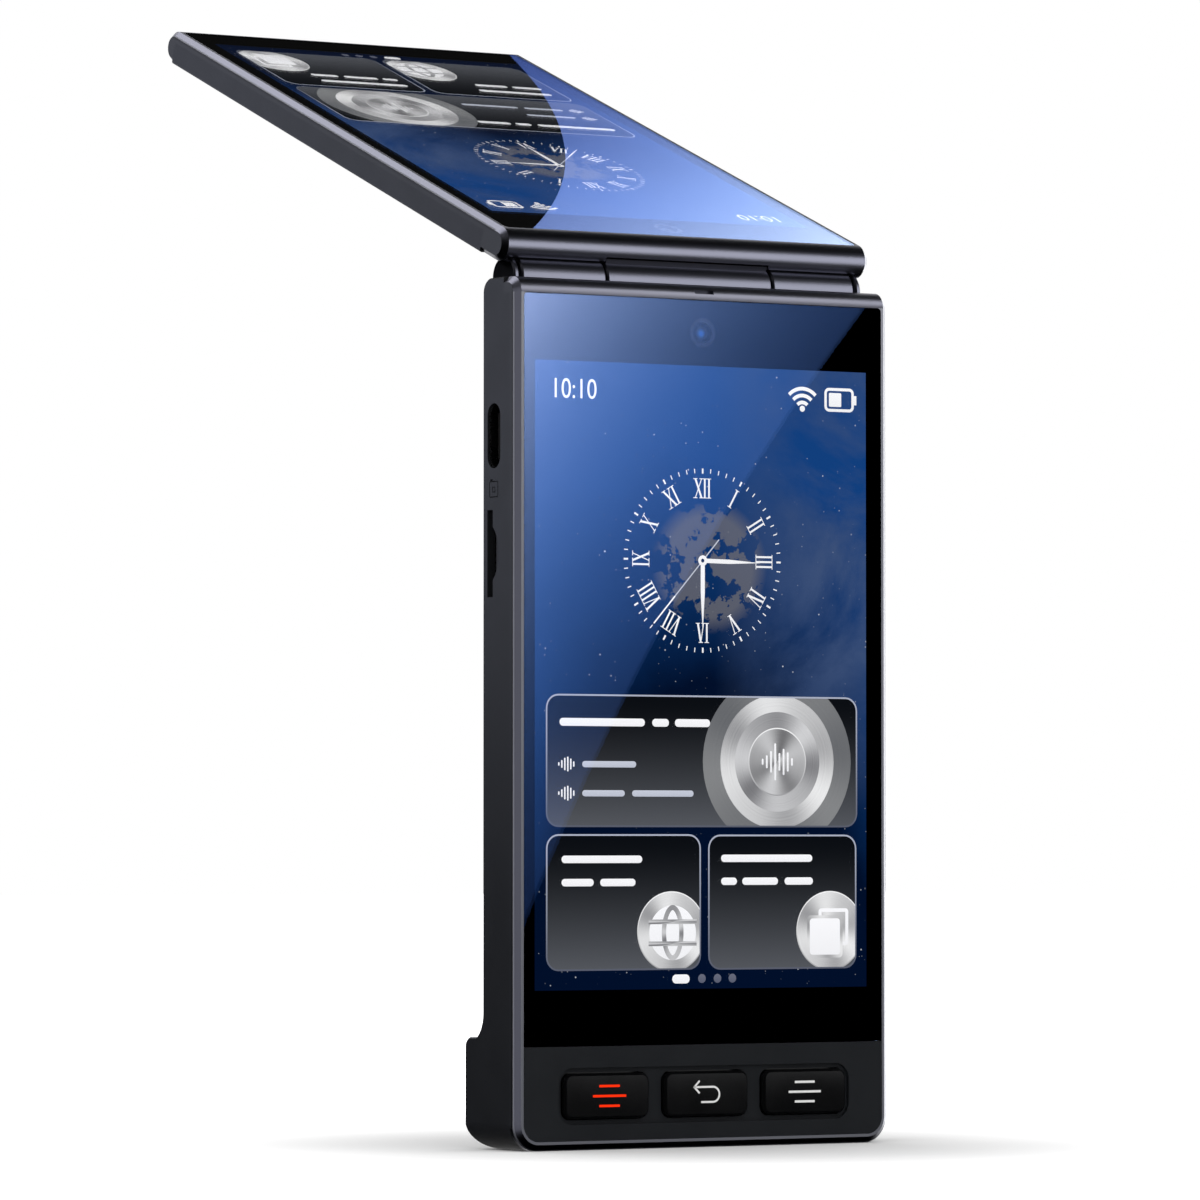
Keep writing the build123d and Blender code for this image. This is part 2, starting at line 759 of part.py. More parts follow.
with BuildPart() as main_board:
    with BuildSketch(face_plane(board_back)) as outline:
        with Locations((0, (board_foot + board_shoulder) / 2)):
            Rectangle(2 * board_half_width, board_shoulder - board_foot)
        with Locations((0, (board_foot + cavity_top - 0.6) / 2)):
            Rectangle(board_neck, cavity_top - 0.6 - board_foot)
        fillet(outline.vertices().group_by(Axis.Y)[0], 0.8)
        with Locations((-board_half_width, port_height)):
            Rectangle(
                2 * (port_shell_start + port_shell_length + board_half_width - body_width / 2 + 0.1),
                port_length, mode=Mode.SUBTRACT,
            )
    extrude(amount=board_thickness)
    for x, z in board_screw_places():
        post(x, z, board_depth, board_back, screw_radius + fit_gap, mode=Mode.SUBTRACT)
save(main_board, "main_board")

with BuildPart() as shield_cans:
    left = card_socket_end
    right = switch_reach - switch_width - can_gap
    split = left + can_split * (right - left)
    top = board_depth - can_height
    plate(left, split - can_gap, top, board_depth, board_foot + can_foot_gap, board_shoulder - 2 * can_shoulder_gap, 0.5)
    plate(split, right, top, board_depth, board_foot + can_foot_gap, board_shoulder - can_shoulder_gap, 0.5)
save(shield_cans, "shield_cans")

with BuildPart() as board_chips:
    chips = (
        (0, processor_rise, processor_side),
        (-chip_side, chip_rise, chip_side),
        (2 * chip_side, chip_rise, chip_side),
        (2 * chip_side, processor_rise, chip_side),
    )
    for x, rise, side in chips:
        low = board_foot + rise
        plate(x - side / 2, x + side / 2, board_back, board_back + chip_height, low, low + side)
save(board_chips, "board_chips")

with BuildPart() as display_flex:
    half = flex_width / 2
    back = chassis_back + fit_gap + flex_thickness
    low = chassis_screw_foot
    front = panel_depth + panel_thickness / 2
    plate(-half, half, front, front + flex_thickness, low, panel_low)
    plate(-half, half, front, back, low, low + flex_thickness)
    plate(-half, half, back - flex_thickness, back, low, board_foot + 1.5 + flex_plug)
    plate(-half, half, back, board_depth, board_foot + 1.5, board_foot + 1.5 + flex_plug)
save(display_flex, "display_flex")

with BuildPart() as key_flex:
    x0 = -board_half_width + 0.1
    x1 = x0 + key_flex_width
    turn = board_foot + 1.5
    plate(x0, x1, key_board_back, key_board_back + flex_thickness, key_row + 2, turn + flex_plug)
    plate(x0, x1, key_board_back + flex_thickness, board_depth, turn, turn + flex_plug)
save(key_flex, "key_flex")

with BuildPart() as wifi_antenna:
    outer = cavity_half - fit_gap
    plate(
        outer - antenna_thickness, outer, battery_depth, cavity_depth - 1,
        battery_foot + antenna_inset, battery_top - antenna_inset,
    )
save(wifi_antenna, "wifi_antenna")

# ---- charging port and card socket ----

port_outer = -body_width / 2 + port_shell_start
port_inner = port_outer + port_shell_length

with BuildPart() as usb_port_shell:
    side_slot(port_outer, port_inner, port_depth, port_height, port_length - 2 * port_gap, port_width - 2 * port_gap)
    side_slot(
        port_outer, port_inner - port_shell_wall, port_depth, port_height,
        port_length - 2 * port_gap - 2 * port_shell_wall, port_width - 2 * port_gap - 2 * port_shell_wall,
        mode=Mode.SUBTRACT,
    )
save(usb_port_shell, "usb_port_shell")

with BuildPart() as usb_tongue:
    with BuildSketch(body_side.offset(-body_width / 2 + tongue_start)):
        with Locations((port_depth, port_height)):
            Rectangle(port_tongue_thickness, port_tongue_width)
    extrude(amount=port_inner - port_shell_wall + body_width / 2 - tongue_start)
    fillet(usb_tongue.edges().filter_by(Axis.Y).group_by(Axis.X)[0], 0.3)
save(usb_tongue, "usb_tongue")

with BuildPart() as card_socket:
    half = card_slot_length / 2 + 0.45
    inner = card_slot_width / 2 - 0.15
    plate(
        card_socket_start, card_socket_end, card_depth - inner - card_socket_wall, card_depth + inner + card_socket_wall,
        card_height - half, card_height + half,
    )
    plate(
        card_socket_start, card_socket_end - 0.8, card_depth - inner, card_depth + inner,
        card_height - half + card_socket_wall, card_height + half - card_socket_wall, mode=Mode.SUBTRACT,
    )
save(card_socket, "card_socket")

# ---- side keys and their switches ----


def side_key(z, length):
    """A long key in the right wall, with the flange that keeps it in."""
    side_slot(side_flange_outer, body_width / 2 + side_key_proud, side_key_depth, z, length, side_key_width)


with BuildPart() as power_key:
    side_key(power_key_height, power_key_length)
    chamfer(power_key.faces().sort_by(Axis.X)[-1].edges(), side_key_edge)
    side_slot(
        side_flange_inner, side_flange_outer, side_key_depth, power_key_height,
        power_key_length + 2 * side_flange, side_key_width,
    )
save(power_key, "power_key")

with BuildPart() as volume_rocker:
    side_key(rocker_height, rocker_length)
    chamfer(volume_rocker.faces().sort_by(Axis.X)[-1].edges(), side_key_edge)
    side_slot(
        side_flange_inner, side_flange_outer, side_key_depth, rocker_height,
        rocker_length + 2 * side_flange, side_key_width,
    )
save(volume_rocker, "volume_rocker")

with BuildPart() as side_switches:
    places = [power_key_height]
    places.append(rocker_height - rocker_switch_pitch / 2)
    places.append(rocker_height + rocker_switch_pitch / 2)
    for z in places:
        plate(
            switch_reach - switch_width, switch_reach, board_depth - switch_height, board_depth,
            z - switch_length / 2, z + switch_length / 2,
        )
save(side_switches, "side_switches")

# ---- cameras ----

with BuildPart() as front_camera:
    post(0, camera_height, panel_depth, panel_depth + camera_ring_depth, camera_ring_radius)
    post(0, camera_height, panel_depth, panel_depth + camera_eye_depth, camera_eye_radius, mode=Mode.SUBTRACT)
    plate(
        -camera_body / 2, camera_body / 2, panel_depth + camera_ring_depth, board_depth - fit_gap,
        camera_height - camera_body / 2, camera_height + camera_body / 2, 0.4,
    )
save(front_camera, "front_camera")

with BuildPart() as camera_lens:
    post(0, camera_height, panel_depth + 0.2, panel_depth + camera_eye_depth, camera_eye_radius - fit_gap)
    chamfer(camera_lens.faces().sort_by(Axis.Y)[0].edges(), 0.2, 0.5)
save(camera_lens, "camera_lens")

# ---- speaker and magnets in the body ----

with BuildPart() as speaker:
    back = chin_cavity_depth - gasket_depth
    low = speaker_row - speaker_height / 2
    high = speaker_row + speaker_height / 2
    plate(-speaker_width / 2, speaker_width / 2, back - speaker_depth, back, low, high, 2.0)
    post(0, speaker_row, back - speaker_depth - 0.7, back - speaker_depth, speaker_height / 2 - 1)
save(speaker, "speaker")

with BuildPart() as speaker_gasket:
    plate(-speaker_width / 2, speaker_width / 2, back, chin_cavity_depth, low, high, 2.0)
    plate(
        gasket_width - speaker_width / 2, speaker_width / 2 - gasket_width, back, chin_cavity_depth,
        low + gasket_width, high - gasket_width, 2.0 - gasket_width, mode=Mode.SUBTRACT,
    )
save(speaker_gasket, "speaker_gasket")

with BuildPart() as body_magnets:
    for side in (-1, 1):
        post(
            side * magnet_offset, magnet_z, cavity_depth - magnet_thickness,
            cavity_depth - fit_gap, magnet_radius,
        )
save(body_magnets, "body_magnets")

# ---- hinge: fixed sleeves and leaves on the body, a knuckle and pins on the lid ----

for side, hand in ((-1, "left"), (1, "right")):
    with BuildPart() as sleeve:
        axle(side * sleeve_inner, side * sleeve_outer, sleeve_radius)
        chamfer(sleeve.edges().filter_by(GeomType.CIRCLE), sleeve_edge)
        axle(side * sleeve_inner, side * sleeve_outer, sleeve_bore, mode=Mode.SUBTRACT)
        x0, x1 = sorted((side * (leaf_inner - 0.1), side * (leaf_outer + 0.1)))
        plate(
            x0, x1, leaf_depth - 0.1, leaf_back + 0.1, hinge_z - 2 * sleeve_radius, hinge_z - 0.9,
            mode=Mode.SUBTRACT,
        )
    save(sleeve, f"hinge_sleeve_{hand}")

    with BuildPart() as leaf:
        x0, x1 = sorted((side * leaf_inner, side * leaf_outer))
        plate(x0, x1, leaf_depth, leaf_back, hinge_z - leaf_length, hinge_z - 1.3)
        axle(side * bush_inner, side * bush_outer, bush_radius)
        axle(side * bush_inner, side * bush_outer, pin_radius + running_gap, mode=Mode.SUBTRACT)
        for x, z in leaf_screw_places():
            post(x, z, leaf_depth, leaf_back, screw_radius + fit_gap, mode=Mode.SUBTRACT)
    save(leaf, f"hinge_leaf_{hand}")

    with BuildPart() as cap:
        face = sleeve_outer + cap_groove
        axle(side * face, side * (face + cap_thickness), cap_radius)
        chamfer(cap.edges().filter_by(GeomType.CIRCLE), sleeve_edge)
        axle(side * (face - plug_length), side * face, sleeve_bore - fit_gap)
    save(cap, f"hinge_cap_{hand}")

    with BuildPart() as pin:
        axle(side * pin_start, side * pin_end, pin_radius)
        chamfer(pin.edges().filter_by(GeomType.CIRCLE), 0.2)
    save(pin, f"hinge_pin_{hand}")

with BuildPart() as hinge_knuckle:
    axle(-knuckle_half, knuckle_half, sleeve_radius)
    chamfer(hinge_knuckle.edges().filter_by(GeomType.CIRCLE), sleeve_edge)
    half = knuckle_half - 0.3
    lid_plate(-half, half, -knuckle_root, 3 * knuckle_root, lid_back, lid_floor + tongue_thickness)
    lid_plate(-half, half, 0, tongue_length, lid_floor, lid_floor + tongue_thickness)
    for side in (-1, 1):
        axle(side * (pin_start - 0.1), side * knuckle_half, pin_radius + press_gap, mode=Mode.SUBTRACT)
    for x in lid_screw_places:
        lid_post(x, lid_screw_reach, lid_floor, lid_floor + tongue_thickness, screw_radius + fit_gap, mode=Mode.SUBTRACT)
save(hinge_knuckle, "hinge_knuckle")

with BuildPart() as friction_washers:
    for side in (-1, 1):
        axle(side * (bush_outer + fit_gap), side * (bush_outer + washer_thickness), nut_radius)
        axle(side * bush_outer, side * pin_end, pin_radius + press_gap, mode=Mode.SUBTRACT)
save(friction_washers, "friction_washers")

with BuildPart() as pin_nuts:
    for side in (-1, 1):
        start = bush_outer + washer_thickness + fit_gap
        with BuildSketch(lid_side.offset(min(side * start, side * (start + nut_thickness)))):
            RegularPolygon(nut_radius, 6)
            Circle(pin_radius + press_gap, mode=Mode.SUBTRACT)
        extrude(amount=nut_thickness)
save(pin_nuts, "pin_nuts")

# ---- lid: metal frame with two rounded ends, and the moulded back cover ----

with BuildPart() as lid_frame:
    add(lid_form.part)
    with BuildSketch(lid_side):
        lid_frame_slice()
    extrude(amount=lid_width, both=True, mode=Mode.INTERSECT)
    for face in (lid_frame.faces().sort_by(Axis.X)[0], lid_frame.faces().sort_by(Axis.X)[-1]):
        front_edge = face.edges().filter_by(GeomType.LINE).sort_by(SortBy.LENGTH)[-2:]
        outer = front_edge.sort_by(Axis(lid_face.origin, lid_out))[-1:]
        noses = face.edges().filter_by(GeomType.CIRCLE)
        chamfer(outer + noses, lid_chamfer)
    axle(-lid_trough_half, lid_trough_half, lid_trough_radius, mode=Mode.SUBTRACT)
    lid_plate(
        -lid_window_half, lid_window_half, lid_heel, lid_far_tangent,
        lid_panel_top, lid_rise + 1, glass_corner, mode=Mode.SUBTRACT,
    )
    lid_plate(
        -lid_window_half + ledge_width, lid_window_half - ledge_width, lid_near_rail, lid_rail_start,
        lid_frame_back, lid_rise, mode=Mode.SUBTRACT,
    )
    half = knuckle_half - 0.3 + 0.15
    top = lid_floor + tongue_thickness + 0.3
    lid_plate(-half, half, -lid_nose, lid_near_rail, 0, top, mode=Mode.SUBTRACT)
    lid_post(0, lid_camera_reach, top - 0.3, lid_rise, camera_ring_radius + 0.15, mode=Mode.SUBTRACT)
save(lid_frame, "lid_frame")

with BuildPart() as lid_back_cover:
    add(lid_form.part)
    with BuildSketch(lid_side):
        with Locations(((lid_near_rail + lid_rail_start) / 2, (lid_back + lid_frame_back) / 2)):
            Rectangle(lid_rail_start - lid_near_rail, lid_frame_back - lid_back)
    extrude(amount=lid_width, both=True, mode=Mode.INTERSECT)
    long_edges = lid_back_cover.edges().filter_by(Axis(lid_face.origin, lid_up))
    fillet(long_edges.sort_by(Axis(lid_face.origin, lid_out))[:2], lid_back_edge)
    lid_plate(
        -lid_inner_half, lid_inner_half, lid_near_rail - 1, lid_rail_start + 1,
        lid_floor, lid_rise, mode=Mode.SUBTRACT,
    )
    for x in lid_screw_places:
        lid_post(x, lid_screw_reach, lid_back + 0.3, lid_floor, screw_radius + fit_gap, mode=Mode.SUBTRACT)
save(lid_back_cover, "lid_back_cover")

# ---- lid glass, screen, camera and the small parts behind them ----

with BuildPart() as lid_glass:
    lid_plate(
        -lid_window_half + fit_gap, lid_window_half - fit_gap, lid_heel + fit_gap, lid_far_tangent - fit_gap,
        lid_panel_top + fit_gap, lid_rise, glass_corner - fit_gap,
    )
save(lid_glass, "lid_glass")

lid_panel_half = lid_screen_width / 2 + lid_panel_side_border
lid_panel_low = lid_screen_start - lid_panel_foot
lid_panel_high = lid_screen_start + screen_length + lid_panel_top_border

with BuildPart() as lid_display_panel:
    lid_plate(
        -lid_panel_half, lid_panel_half, lid_panel_low, lid_panel_high, lid_tray_top, lid_panel_top, 0.5,
    )
save(lid_display_panel, "lid_display_panel")

with BuildPart() as lid_backlight:
    lid_plate(
        -lid_panel_half + tray_inset, lid_panel_half - tray_inset,
        lid_panel_low + tray_inset, lid_panel_high - tray_inset,
        lid_tray_top - lid_tray_thickness, lid_tray_top, 0.5,
    )
save(lid_backlight, "lid_backlight")

with BuildPart() as lid_camera:
    low = lid_floor + tongue_thickness + fit_gap
    lid_post(0, lid_camera_reach, low, lid_panel_top, camera_ring_radius)
    lid_post(0, lid_camera_reach, lid_panel_top - camera_eye_depth, lid_panel_top, camera_eye_radius, mode=Mode.SUBTRACT)
save(lid_camera, "lid_camera")

with BuildPart() as lid_camera_lens:
    low = lid_panel_top - camera_eye_depth
    lid_post(0, lid_camera_reach, low, lid_panel_top - 0.2, camera_eye_radius - fit_gap)
    chamfer(lid_camera_lens.faces().sort_by(Axis(lid_face.origin, lid_out))[-1].edges(), 0.2, 0.5)
save(lid_camera_lens, "lid_camera_lens")

with BuildPart() as lid_screws:
    top = lid_floor + tongue_thickness
    for x in lid_screw_places:
        lid_post(x, lid_screw_reach, top, top + 0.4, screw_head_radius)
        lid_post(x, lid_screw_reach, lid_back + 0.4, top, screw_radius)
save(lid_screws, "lid_screws")

with BuildPart() as lid_board:
    lid_plate(
        -lid_board_width / 2, lid_board_width / 2, lid_board_start, lid_board_start + lid_board_length,
        lid_floor, lid_floor + 0.6, 0.8,
    )
save(lid_board, "lid_board")

with BuildPart() as lid_ribbon:
    top = lid_floor + tongue_thickness
    x0 = lid_ribbon_x - lid_ribbon_width / 2
    x1 = lid_ribbon_x + lid_ribbon_width / 2
    lid_plate(x0, x1, lid_heel, lid_board_start + 3, top, top + flex_thickness)
    lid_plate(x0, x1, lid_board_start + 0.6, lid_board_start + 3, lid_floor + 0.6, top)
save(lid_ribbon, "lid_ribbon")

with BuildPart() as lid_magnets:
    for side in (-1, 1):
        lid_post(
            side * magnet_offset, magnet_reach, lid_floor + fit_gap,
            lid_floor + magnet_thickness - fit_gap, magnet_radius,
        )
save(lid_magnets, "lid_magnets")
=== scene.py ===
"""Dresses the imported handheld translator: finishes, lit pictures, key marks and a plain studio."""

import json
from math import atan2, cos, degrees, pi, radians, sin

import bmesh
import bpy
from bpy.props import FloatProperty, FloatVectorProperty, PointerProperty
from bpy.types import Operator, Panel, PropertyGroup
from mathutils import Matrix, Vector


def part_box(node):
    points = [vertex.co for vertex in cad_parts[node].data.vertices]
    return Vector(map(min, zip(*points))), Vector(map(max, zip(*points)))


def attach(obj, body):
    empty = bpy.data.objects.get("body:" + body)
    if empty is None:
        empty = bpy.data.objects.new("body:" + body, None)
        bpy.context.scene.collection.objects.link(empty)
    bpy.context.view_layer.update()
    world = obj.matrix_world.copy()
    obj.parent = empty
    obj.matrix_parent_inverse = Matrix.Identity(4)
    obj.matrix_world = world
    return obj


bl_info = {
    "name": "Handheld Translator Dressing",
    "version": (1, 0, 0),
    "blender": (4, 5, 0),
    "location": "3D View > Sidebar > Translator",
    "description": "Finishes, lit pictures, key marks and studio for a handheld translator with two screens",
    "category": "Object",
}

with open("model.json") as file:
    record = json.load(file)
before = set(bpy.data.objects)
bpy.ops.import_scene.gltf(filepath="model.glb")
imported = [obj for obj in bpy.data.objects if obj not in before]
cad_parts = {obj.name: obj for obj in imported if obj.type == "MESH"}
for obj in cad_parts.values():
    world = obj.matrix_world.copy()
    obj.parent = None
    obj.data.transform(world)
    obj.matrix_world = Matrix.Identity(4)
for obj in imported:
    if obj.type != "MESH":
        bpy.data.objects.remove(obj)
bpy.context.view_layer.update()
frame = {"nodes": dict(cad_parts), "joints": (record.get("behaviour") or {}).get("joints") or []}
joints = {joint["name"]: joint for joint in frame["joints"]}

MM = 0.001
LAYER = 0.003 * MM  # step between the layers of a flat drawing
MARK_LIFT = 0.006 * MM  # height of a mark over its surface
EDGE_GAP = 0.02 * MM  # how far the ink passes the edge of its glass
SIDE_INSET = 0.03 * MM  # how deep a side wall of a band counts as its side
EYE_RIM, EYE_HOLE = 1.5, 0.98  # the inked ring about a camera, over its radius
METAL_ROUGHNESS, METAL_CONTRAST = 0.34, 0.10
HOUSING_SURFACE = (0.48, 7000.0, 0.12)  # roughness, scale and depth of the grain
SEAM_SHADE = (0.0004, 0.0004, 0.0005)

RIGHT, UP, FRONT = Vector((1, 0, 0)), Vector((0, 0, 1)), Vector((0, -1, 0))

# ---- where things are, read from the solids ----
glass_low, glass_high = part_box("front_glass")
panel_low, panel_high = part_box("display_panel")
housing_low, housing_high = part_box("main_housing")
ring_low, ring_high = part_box("front_camera")
lens_low, lens_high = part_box("camera_lens")
hinge_place = Vector(joints["lid_hinge"]["pos_m"])
lid_lean = radians(180 + joints["lid_hinge"]["range_deg"][0])
lid_up = Vector((0, sin(lid_lean), cos(lid_lean)))
lid_out = Vector((0, -cos(lid_lean), sin(lid_lean)))


def lid_span(node):
    """The lowest and highest (across, reach, rise) of a lid node, in the lid's own directions."""
    seen = [vertex.co - hinge_place for vertex in frame["nodes"][node].data.vertices]
    spans = [(p.x, p.dot(lid_up), p.dot(lid_out)) for p in seen]
    return [min(s[i] for s in spans) for i in range(3)], [max(s[i] for s in spans) for i in range(3)]


lid_glass_low, lid_glass_high = lid_span("lid_glass")
lid_panel_low, lid_panel_high = lid_span("lid_display_panel")
lid_ring_low, lid_ring_high = lid_span("lid_camera")
lid_frame_low, lid_frame_high = lid_span("lid_frame")

# ---- settings ----


def number(name, description, default, **settings):
    """A plain number setting."""
    return FloatProperty(name=name, description=description, default=default, **settings)


def length(name, description, default):
    """A length setting, in metres."""
    return number(name, description, default, unit="LENGTH", precision=5)


def numbers(name, description, default, **settings):
    """A setting of several numbers."""
    return FloatVectorProperty(name=name, description=description, default=default, **settings)


def colour(name, description, default):
    """A colour setting, linear."""
    return numbers(name, description, default, subtype="COLOR", size=3, min=0, max=1)


class TRANSLATOR_PG_picture(PropertyGroup):
    side_border: length("Side Border", "Dark edge of the panel beside the picture", 1.0 * MM)
    foot_border: length("Foot Border", "Dark edge of the panel under the picture", 3.8 * MM)
    top_border: length("Top Border", "Dark edge of the panel above the picture", 1.2 * MM)
    lid_side_border: length("Lid Side Border", "Dark edge beside the lid's picture", 1.4 * MM)
    lid_foot_border: length("Lid Foot Border", "Dark edge at the hinge end of the lid's picture", 1.25 * MM)
    lid_top_border: length("Lid Top Border", "Dark edge at the far end of the lid's picture", 2.3 * MM)
    glow: number("Glow", "Brightness of the front picture", 1.08, min=0)
    lid_glow: number("Lid Glow", "Brightness of the lid's picture", 1.6, min=0)
    sky_top: colour("Sky Top", "Sky at the top of the picture", (0.006, 0.050, 0.205))
    sky_foot: colour("Sky Foot", "Sky at the foot of the picture", (0.0006, 0.0050, 0.023))
    cloud: colour("Cloud", "Thin cloud and haze", (0.050, 0.086, 0.19))
    land: colour("Land", "Faint globe behind the clock", (0.16, 0.16, 0.17))
    white: colour("White", "Hands, numerals and icons", (0.97, 0.97, 0.99))
    card_top: colour("Card Top", "Dark glass card at its top", (0.0035, 0.0045, 0.0065))
    card_foot: colour("Card Foot", "Dark glass card at its foot", (0.088, 0.094, 0.107))


class TRANSLATOR_PG_finish(PropertyGroup):
    metal: colour("Metal", "Dark polished metal of the bands and the hinge barrel", (0.16, 0.162, 0.195))
    housing: colour("Housing", "Charcoal plastic of the housing and the lid's back", (0.0105, 0.0118, 0.0146))
    key_plate: colour("Key Plate", "Dark plate around the keys", (0.0150, 0.0172, 0.0212))
    key_cap: colour("Key Cap", "Black key caps", (0.0022, 0.0023, 0.0027))
    talk_mark: colour("Talk Mark", "Red lines on the left key", (0.92, 0.026, 0.001))
    plain_mark: colour("Plain Mark", "White marks on the other keys", (0.80, 0.80, 0.79))
    glass_ior: number("Glass IOR", "Index of the cover glass", 1.5, min=1, max=2)


class TRANSLATOR_PG_stage(PropertyGroup):
    lens: number("Lens", "Focal length in millimetres", 211.65)
    camera_place: numbers(
        "Camera Place", "Where the camera stands", (-0.5403, -0.8549, 0.0438), subtype="TRANSLATION",
        unit="LENGTH",
    )
    camera_turn: numbers(
        "Camera Turn", "Rotation of the camera", (radians(91.94), 0, radians(-31.65)), subtype="EULER",
        unit="ROTATION",
    )
    floor_size: length("Floor Size", "Side of the square floor", 8.0)
    shadow_reach: numbers(
        "Shadow Reach", "Where the floor begins to give off light, and where it is white", (0.02, 0.14),
        size=2, unit="LENGTH",
    )
    room_light: number("Room Light", "Even light from all round", 0.95)
    front_lamp: number("Front Lamp", "Power of the large front lamp", 1.6, unit="POWER")
    side_lamp: number("Side Lamp", "Power of the left lamp", 0.8, unit="POWER")
    top_lamp: number("Top Lamp", "Power of the overhead lamp", 1.2, unit="POWER")


# ---- small helpers for nodes ----


def fill(tree, socket, value):
    """Joins a socket to another one, or sets it to a plain value."""
    if isinstance(value, bpy.types.NodeSocket):
        tree.links.new(value, socket)
    else:
        socket.default_value = value


def give(tree, node, **values):
    """Fills a node's sockets, named with underscores for spaces."""
    for name, value in values.items():
        fill(tree, node.inputs[name.replace("_", " ")], value)


def new_node(tree, kind, **settings):
    """A node with its settings; one that isn't a property of the node fills the socket of that name."""
    node = tree.nodes.new(kind)
    for name, value in settings.items():
        if hasattr(node, name):
            setattr(node, name, value)
        else:
            give(tree, node, **{name: value})
    return node


def math_node(tree, operation, *values, clamp=False):
    """A Math node on sockets or plain numbers; gives its output socket."""
    node = new_node(tree, "ShaderNodeMath", operation=operation, use_clamp=clamp)
    for socket, value in zip(node.inputs, values):
        fill(tree, socket, value)
    return node.outputs[0]


def vector_node(tree, operation, *values, output="Value"):
    """A Vector Math node on sockets or plain vectors; gives one of its output sockets."""
    node = new_node(tree, "ShaderNodeVectorMath", operation=operation)
    for socket, value in zip(node.inputs, values):
        fill(tree, socket, value)
    return node.outputs[output]


def mix_colour(tree, share, first, second):
    """A colour mix of sockets or plain colours by a share; gives its output socket."""
    node = new_node(tree, "ShaderNodeMix", data_type="RGBA")
    for socket, value in ((node.inputs[0], share), (node.inputs[6], first), (node.inputs[7], second)):
        fill(tree, socket, value)
    return node.outputs[2]


def ramp(tree, source, low, high):
    """A grey ramp between two (place, level) stops; gives its colour socket."""
    node = tree.nodes.new("ShaderNodeValToRGB")
    for element, (place, level) in zip(node.color_ramp.elements, (low, high)):
        element.position = place
        element.color = (level, level, level, 1)
    fill(tree, node.inputs[0], source)
    return node.outputs[0]


def object_place(tree):
    """The socket with a point's place on the object."""
    return tree.nodes.new("ShaderNodeTexCoord").outputs["Object"]


def uv_place(tree):
    """The socket with a point's place on its flat shape."""
    return tree.nodes.new("ShaderNodeUVMap").outputs["UV"]


def noise(tree, where, **settings):
    """The grey value of a noise texture."""
    return new_node(tree, "ShaderNodeTexNoise", Vector=where, **settings).outputs["Fac"]


def split_axes(tree, where):
    """The three sockets of a vector, by axis."""
    return new_node(tree, "ShaderNodeSeparateXYZ", Vector=where).outputs


def opaque(shade):
    """A three-part colour with full alpha."""
    return (*shade, 1.0)


def new_material(name, **sockets):
    """A material with a Principled BSDF whose plain sockets are set here."""
    material = bpy.data.materials.new(name)
    material.use_nodes = True
    tree = material.node_tree
    shader = tree.nodes["Principled BSDF"]
    give(tree, shader, **sockets)
    return material, tree, shader


def new_group(name, inputs, outputs):
    """A shader node group with named sockets; gives it, its input sockets and its output node."""
    group = bpy.data.node_groups.new(name, "ShaderNodeTree")
    for socket, kind, default in inputs:
        made = group.interface.new_socket(socket, in_out="INPUT", socket_type=f"NodeSocket{kind}")
        made.default_value = default
    for socket, kind in outputs:
        group.interface.new_socket(socket, in_out="OUTPUT", socket_type=f"NodeSocket{kind}")
    return group, group.nodes.new("NodeGroupInput").outputs, group.nodes.new("NodeGroupOutput")


def shared(tree, maker, name, **values):
    """The named node group, made the first time it is asked for, placed with its own values."""
    group = bpy.data.node_groups.get(name) or maker(name)
    return new_node(tree, "ShaderNodeGroup", node_tree=group, **values)


# ---- shared surface effects ----

SURFACE = [("Color", "Color"), ("Roughness", "Float"), ("Normal", "Vector")]


def moulded_grain(name):
    """Fine spark-eroded grain of moulded plastic, with faint mottling."""
    group, take, leave = new_group(
        name,
        [("Color", "Color", (0.02, 0.02, 0.02, 1)), ("Roughness", "Float", 0.5),
         ("Grain Scale", "Float", 9000.0), ("Depth", "Float", 0.1)],
        SURFACE,
    )
    where = object_place(group)
    mottle = noise(group, where, Scale=160.0, Detail=3.0)
    grain = noise(group, where, Scale=take["Grain Scale"], Detail=1.0)
    tint = new_node(
        group, "ShaderNodeHueSaturation", Color=take["Color"],
        Value=math_node(group, "MULTIPLY_ADD", mottle, 0.3, 0.85),
    )
    rough = math_node(group, "SUBTRACT", take["Roughness"], 0.06)
    bump = new_node(group, "ShaderNodeBump", Distance=0.00002, Height=grain, Strength=take["Depth"])
    give(
        group, leave, Color=tint.outputs["Color"],
        Roughness=math_node(group, "MULTIPLY_ADD", mottle, 0.12, rough), Normal=bump.outputs["Normal"],
    )
    return group


def brushed_metal(name):
    """Long faint brush lines across the object, with slow changes of tone."""
    group, take, leave = new_group(
        name,
        [("Color", "Color", (0.2, 0.2, 0.2, 1)), ("Roughness", "Float", 0.25), ("Contrast", "Float", 0.15)],
        SURFACE,
    )
    where = object_place(group)
    stretch = new_node(group, "ShaderNodeMapping", Scale=(60, 4000, 4000), Vector=where)
    lines = noise(group, stretch.outputs["Vector"], Scale=1.0, Detail=2.0)
    tone = noise(group, where, Scale=60.0, Detail=2.0)
    swing = math_node(group, "SUBTRACT", math_node(group, "ADD", lines, tone), 1.0)
    swing = math_node(group, "MULTIPLY", swing, take["Contrast"])
    tint = new_node(
        group, "ShaderNodeHueSaturation", Color=take["Color"], Value=math_node(group, "ADD", swing, 1.0)
    )
    rough = math_node(group, "SUBTRACT", take["Roughness"], 0.05)
    bump = new_node(group, "ShaderNodeBump", Strength=0.04, Distance=0.00001, Height=lines)
    give(
        group, leave, Color=tint.outputs["Color"],
        Roughness=math_node(group, "MULTIPLY_ADD", lines, 0.1, rough), Normal=bump.outputs["Normal"],
    )
    return group


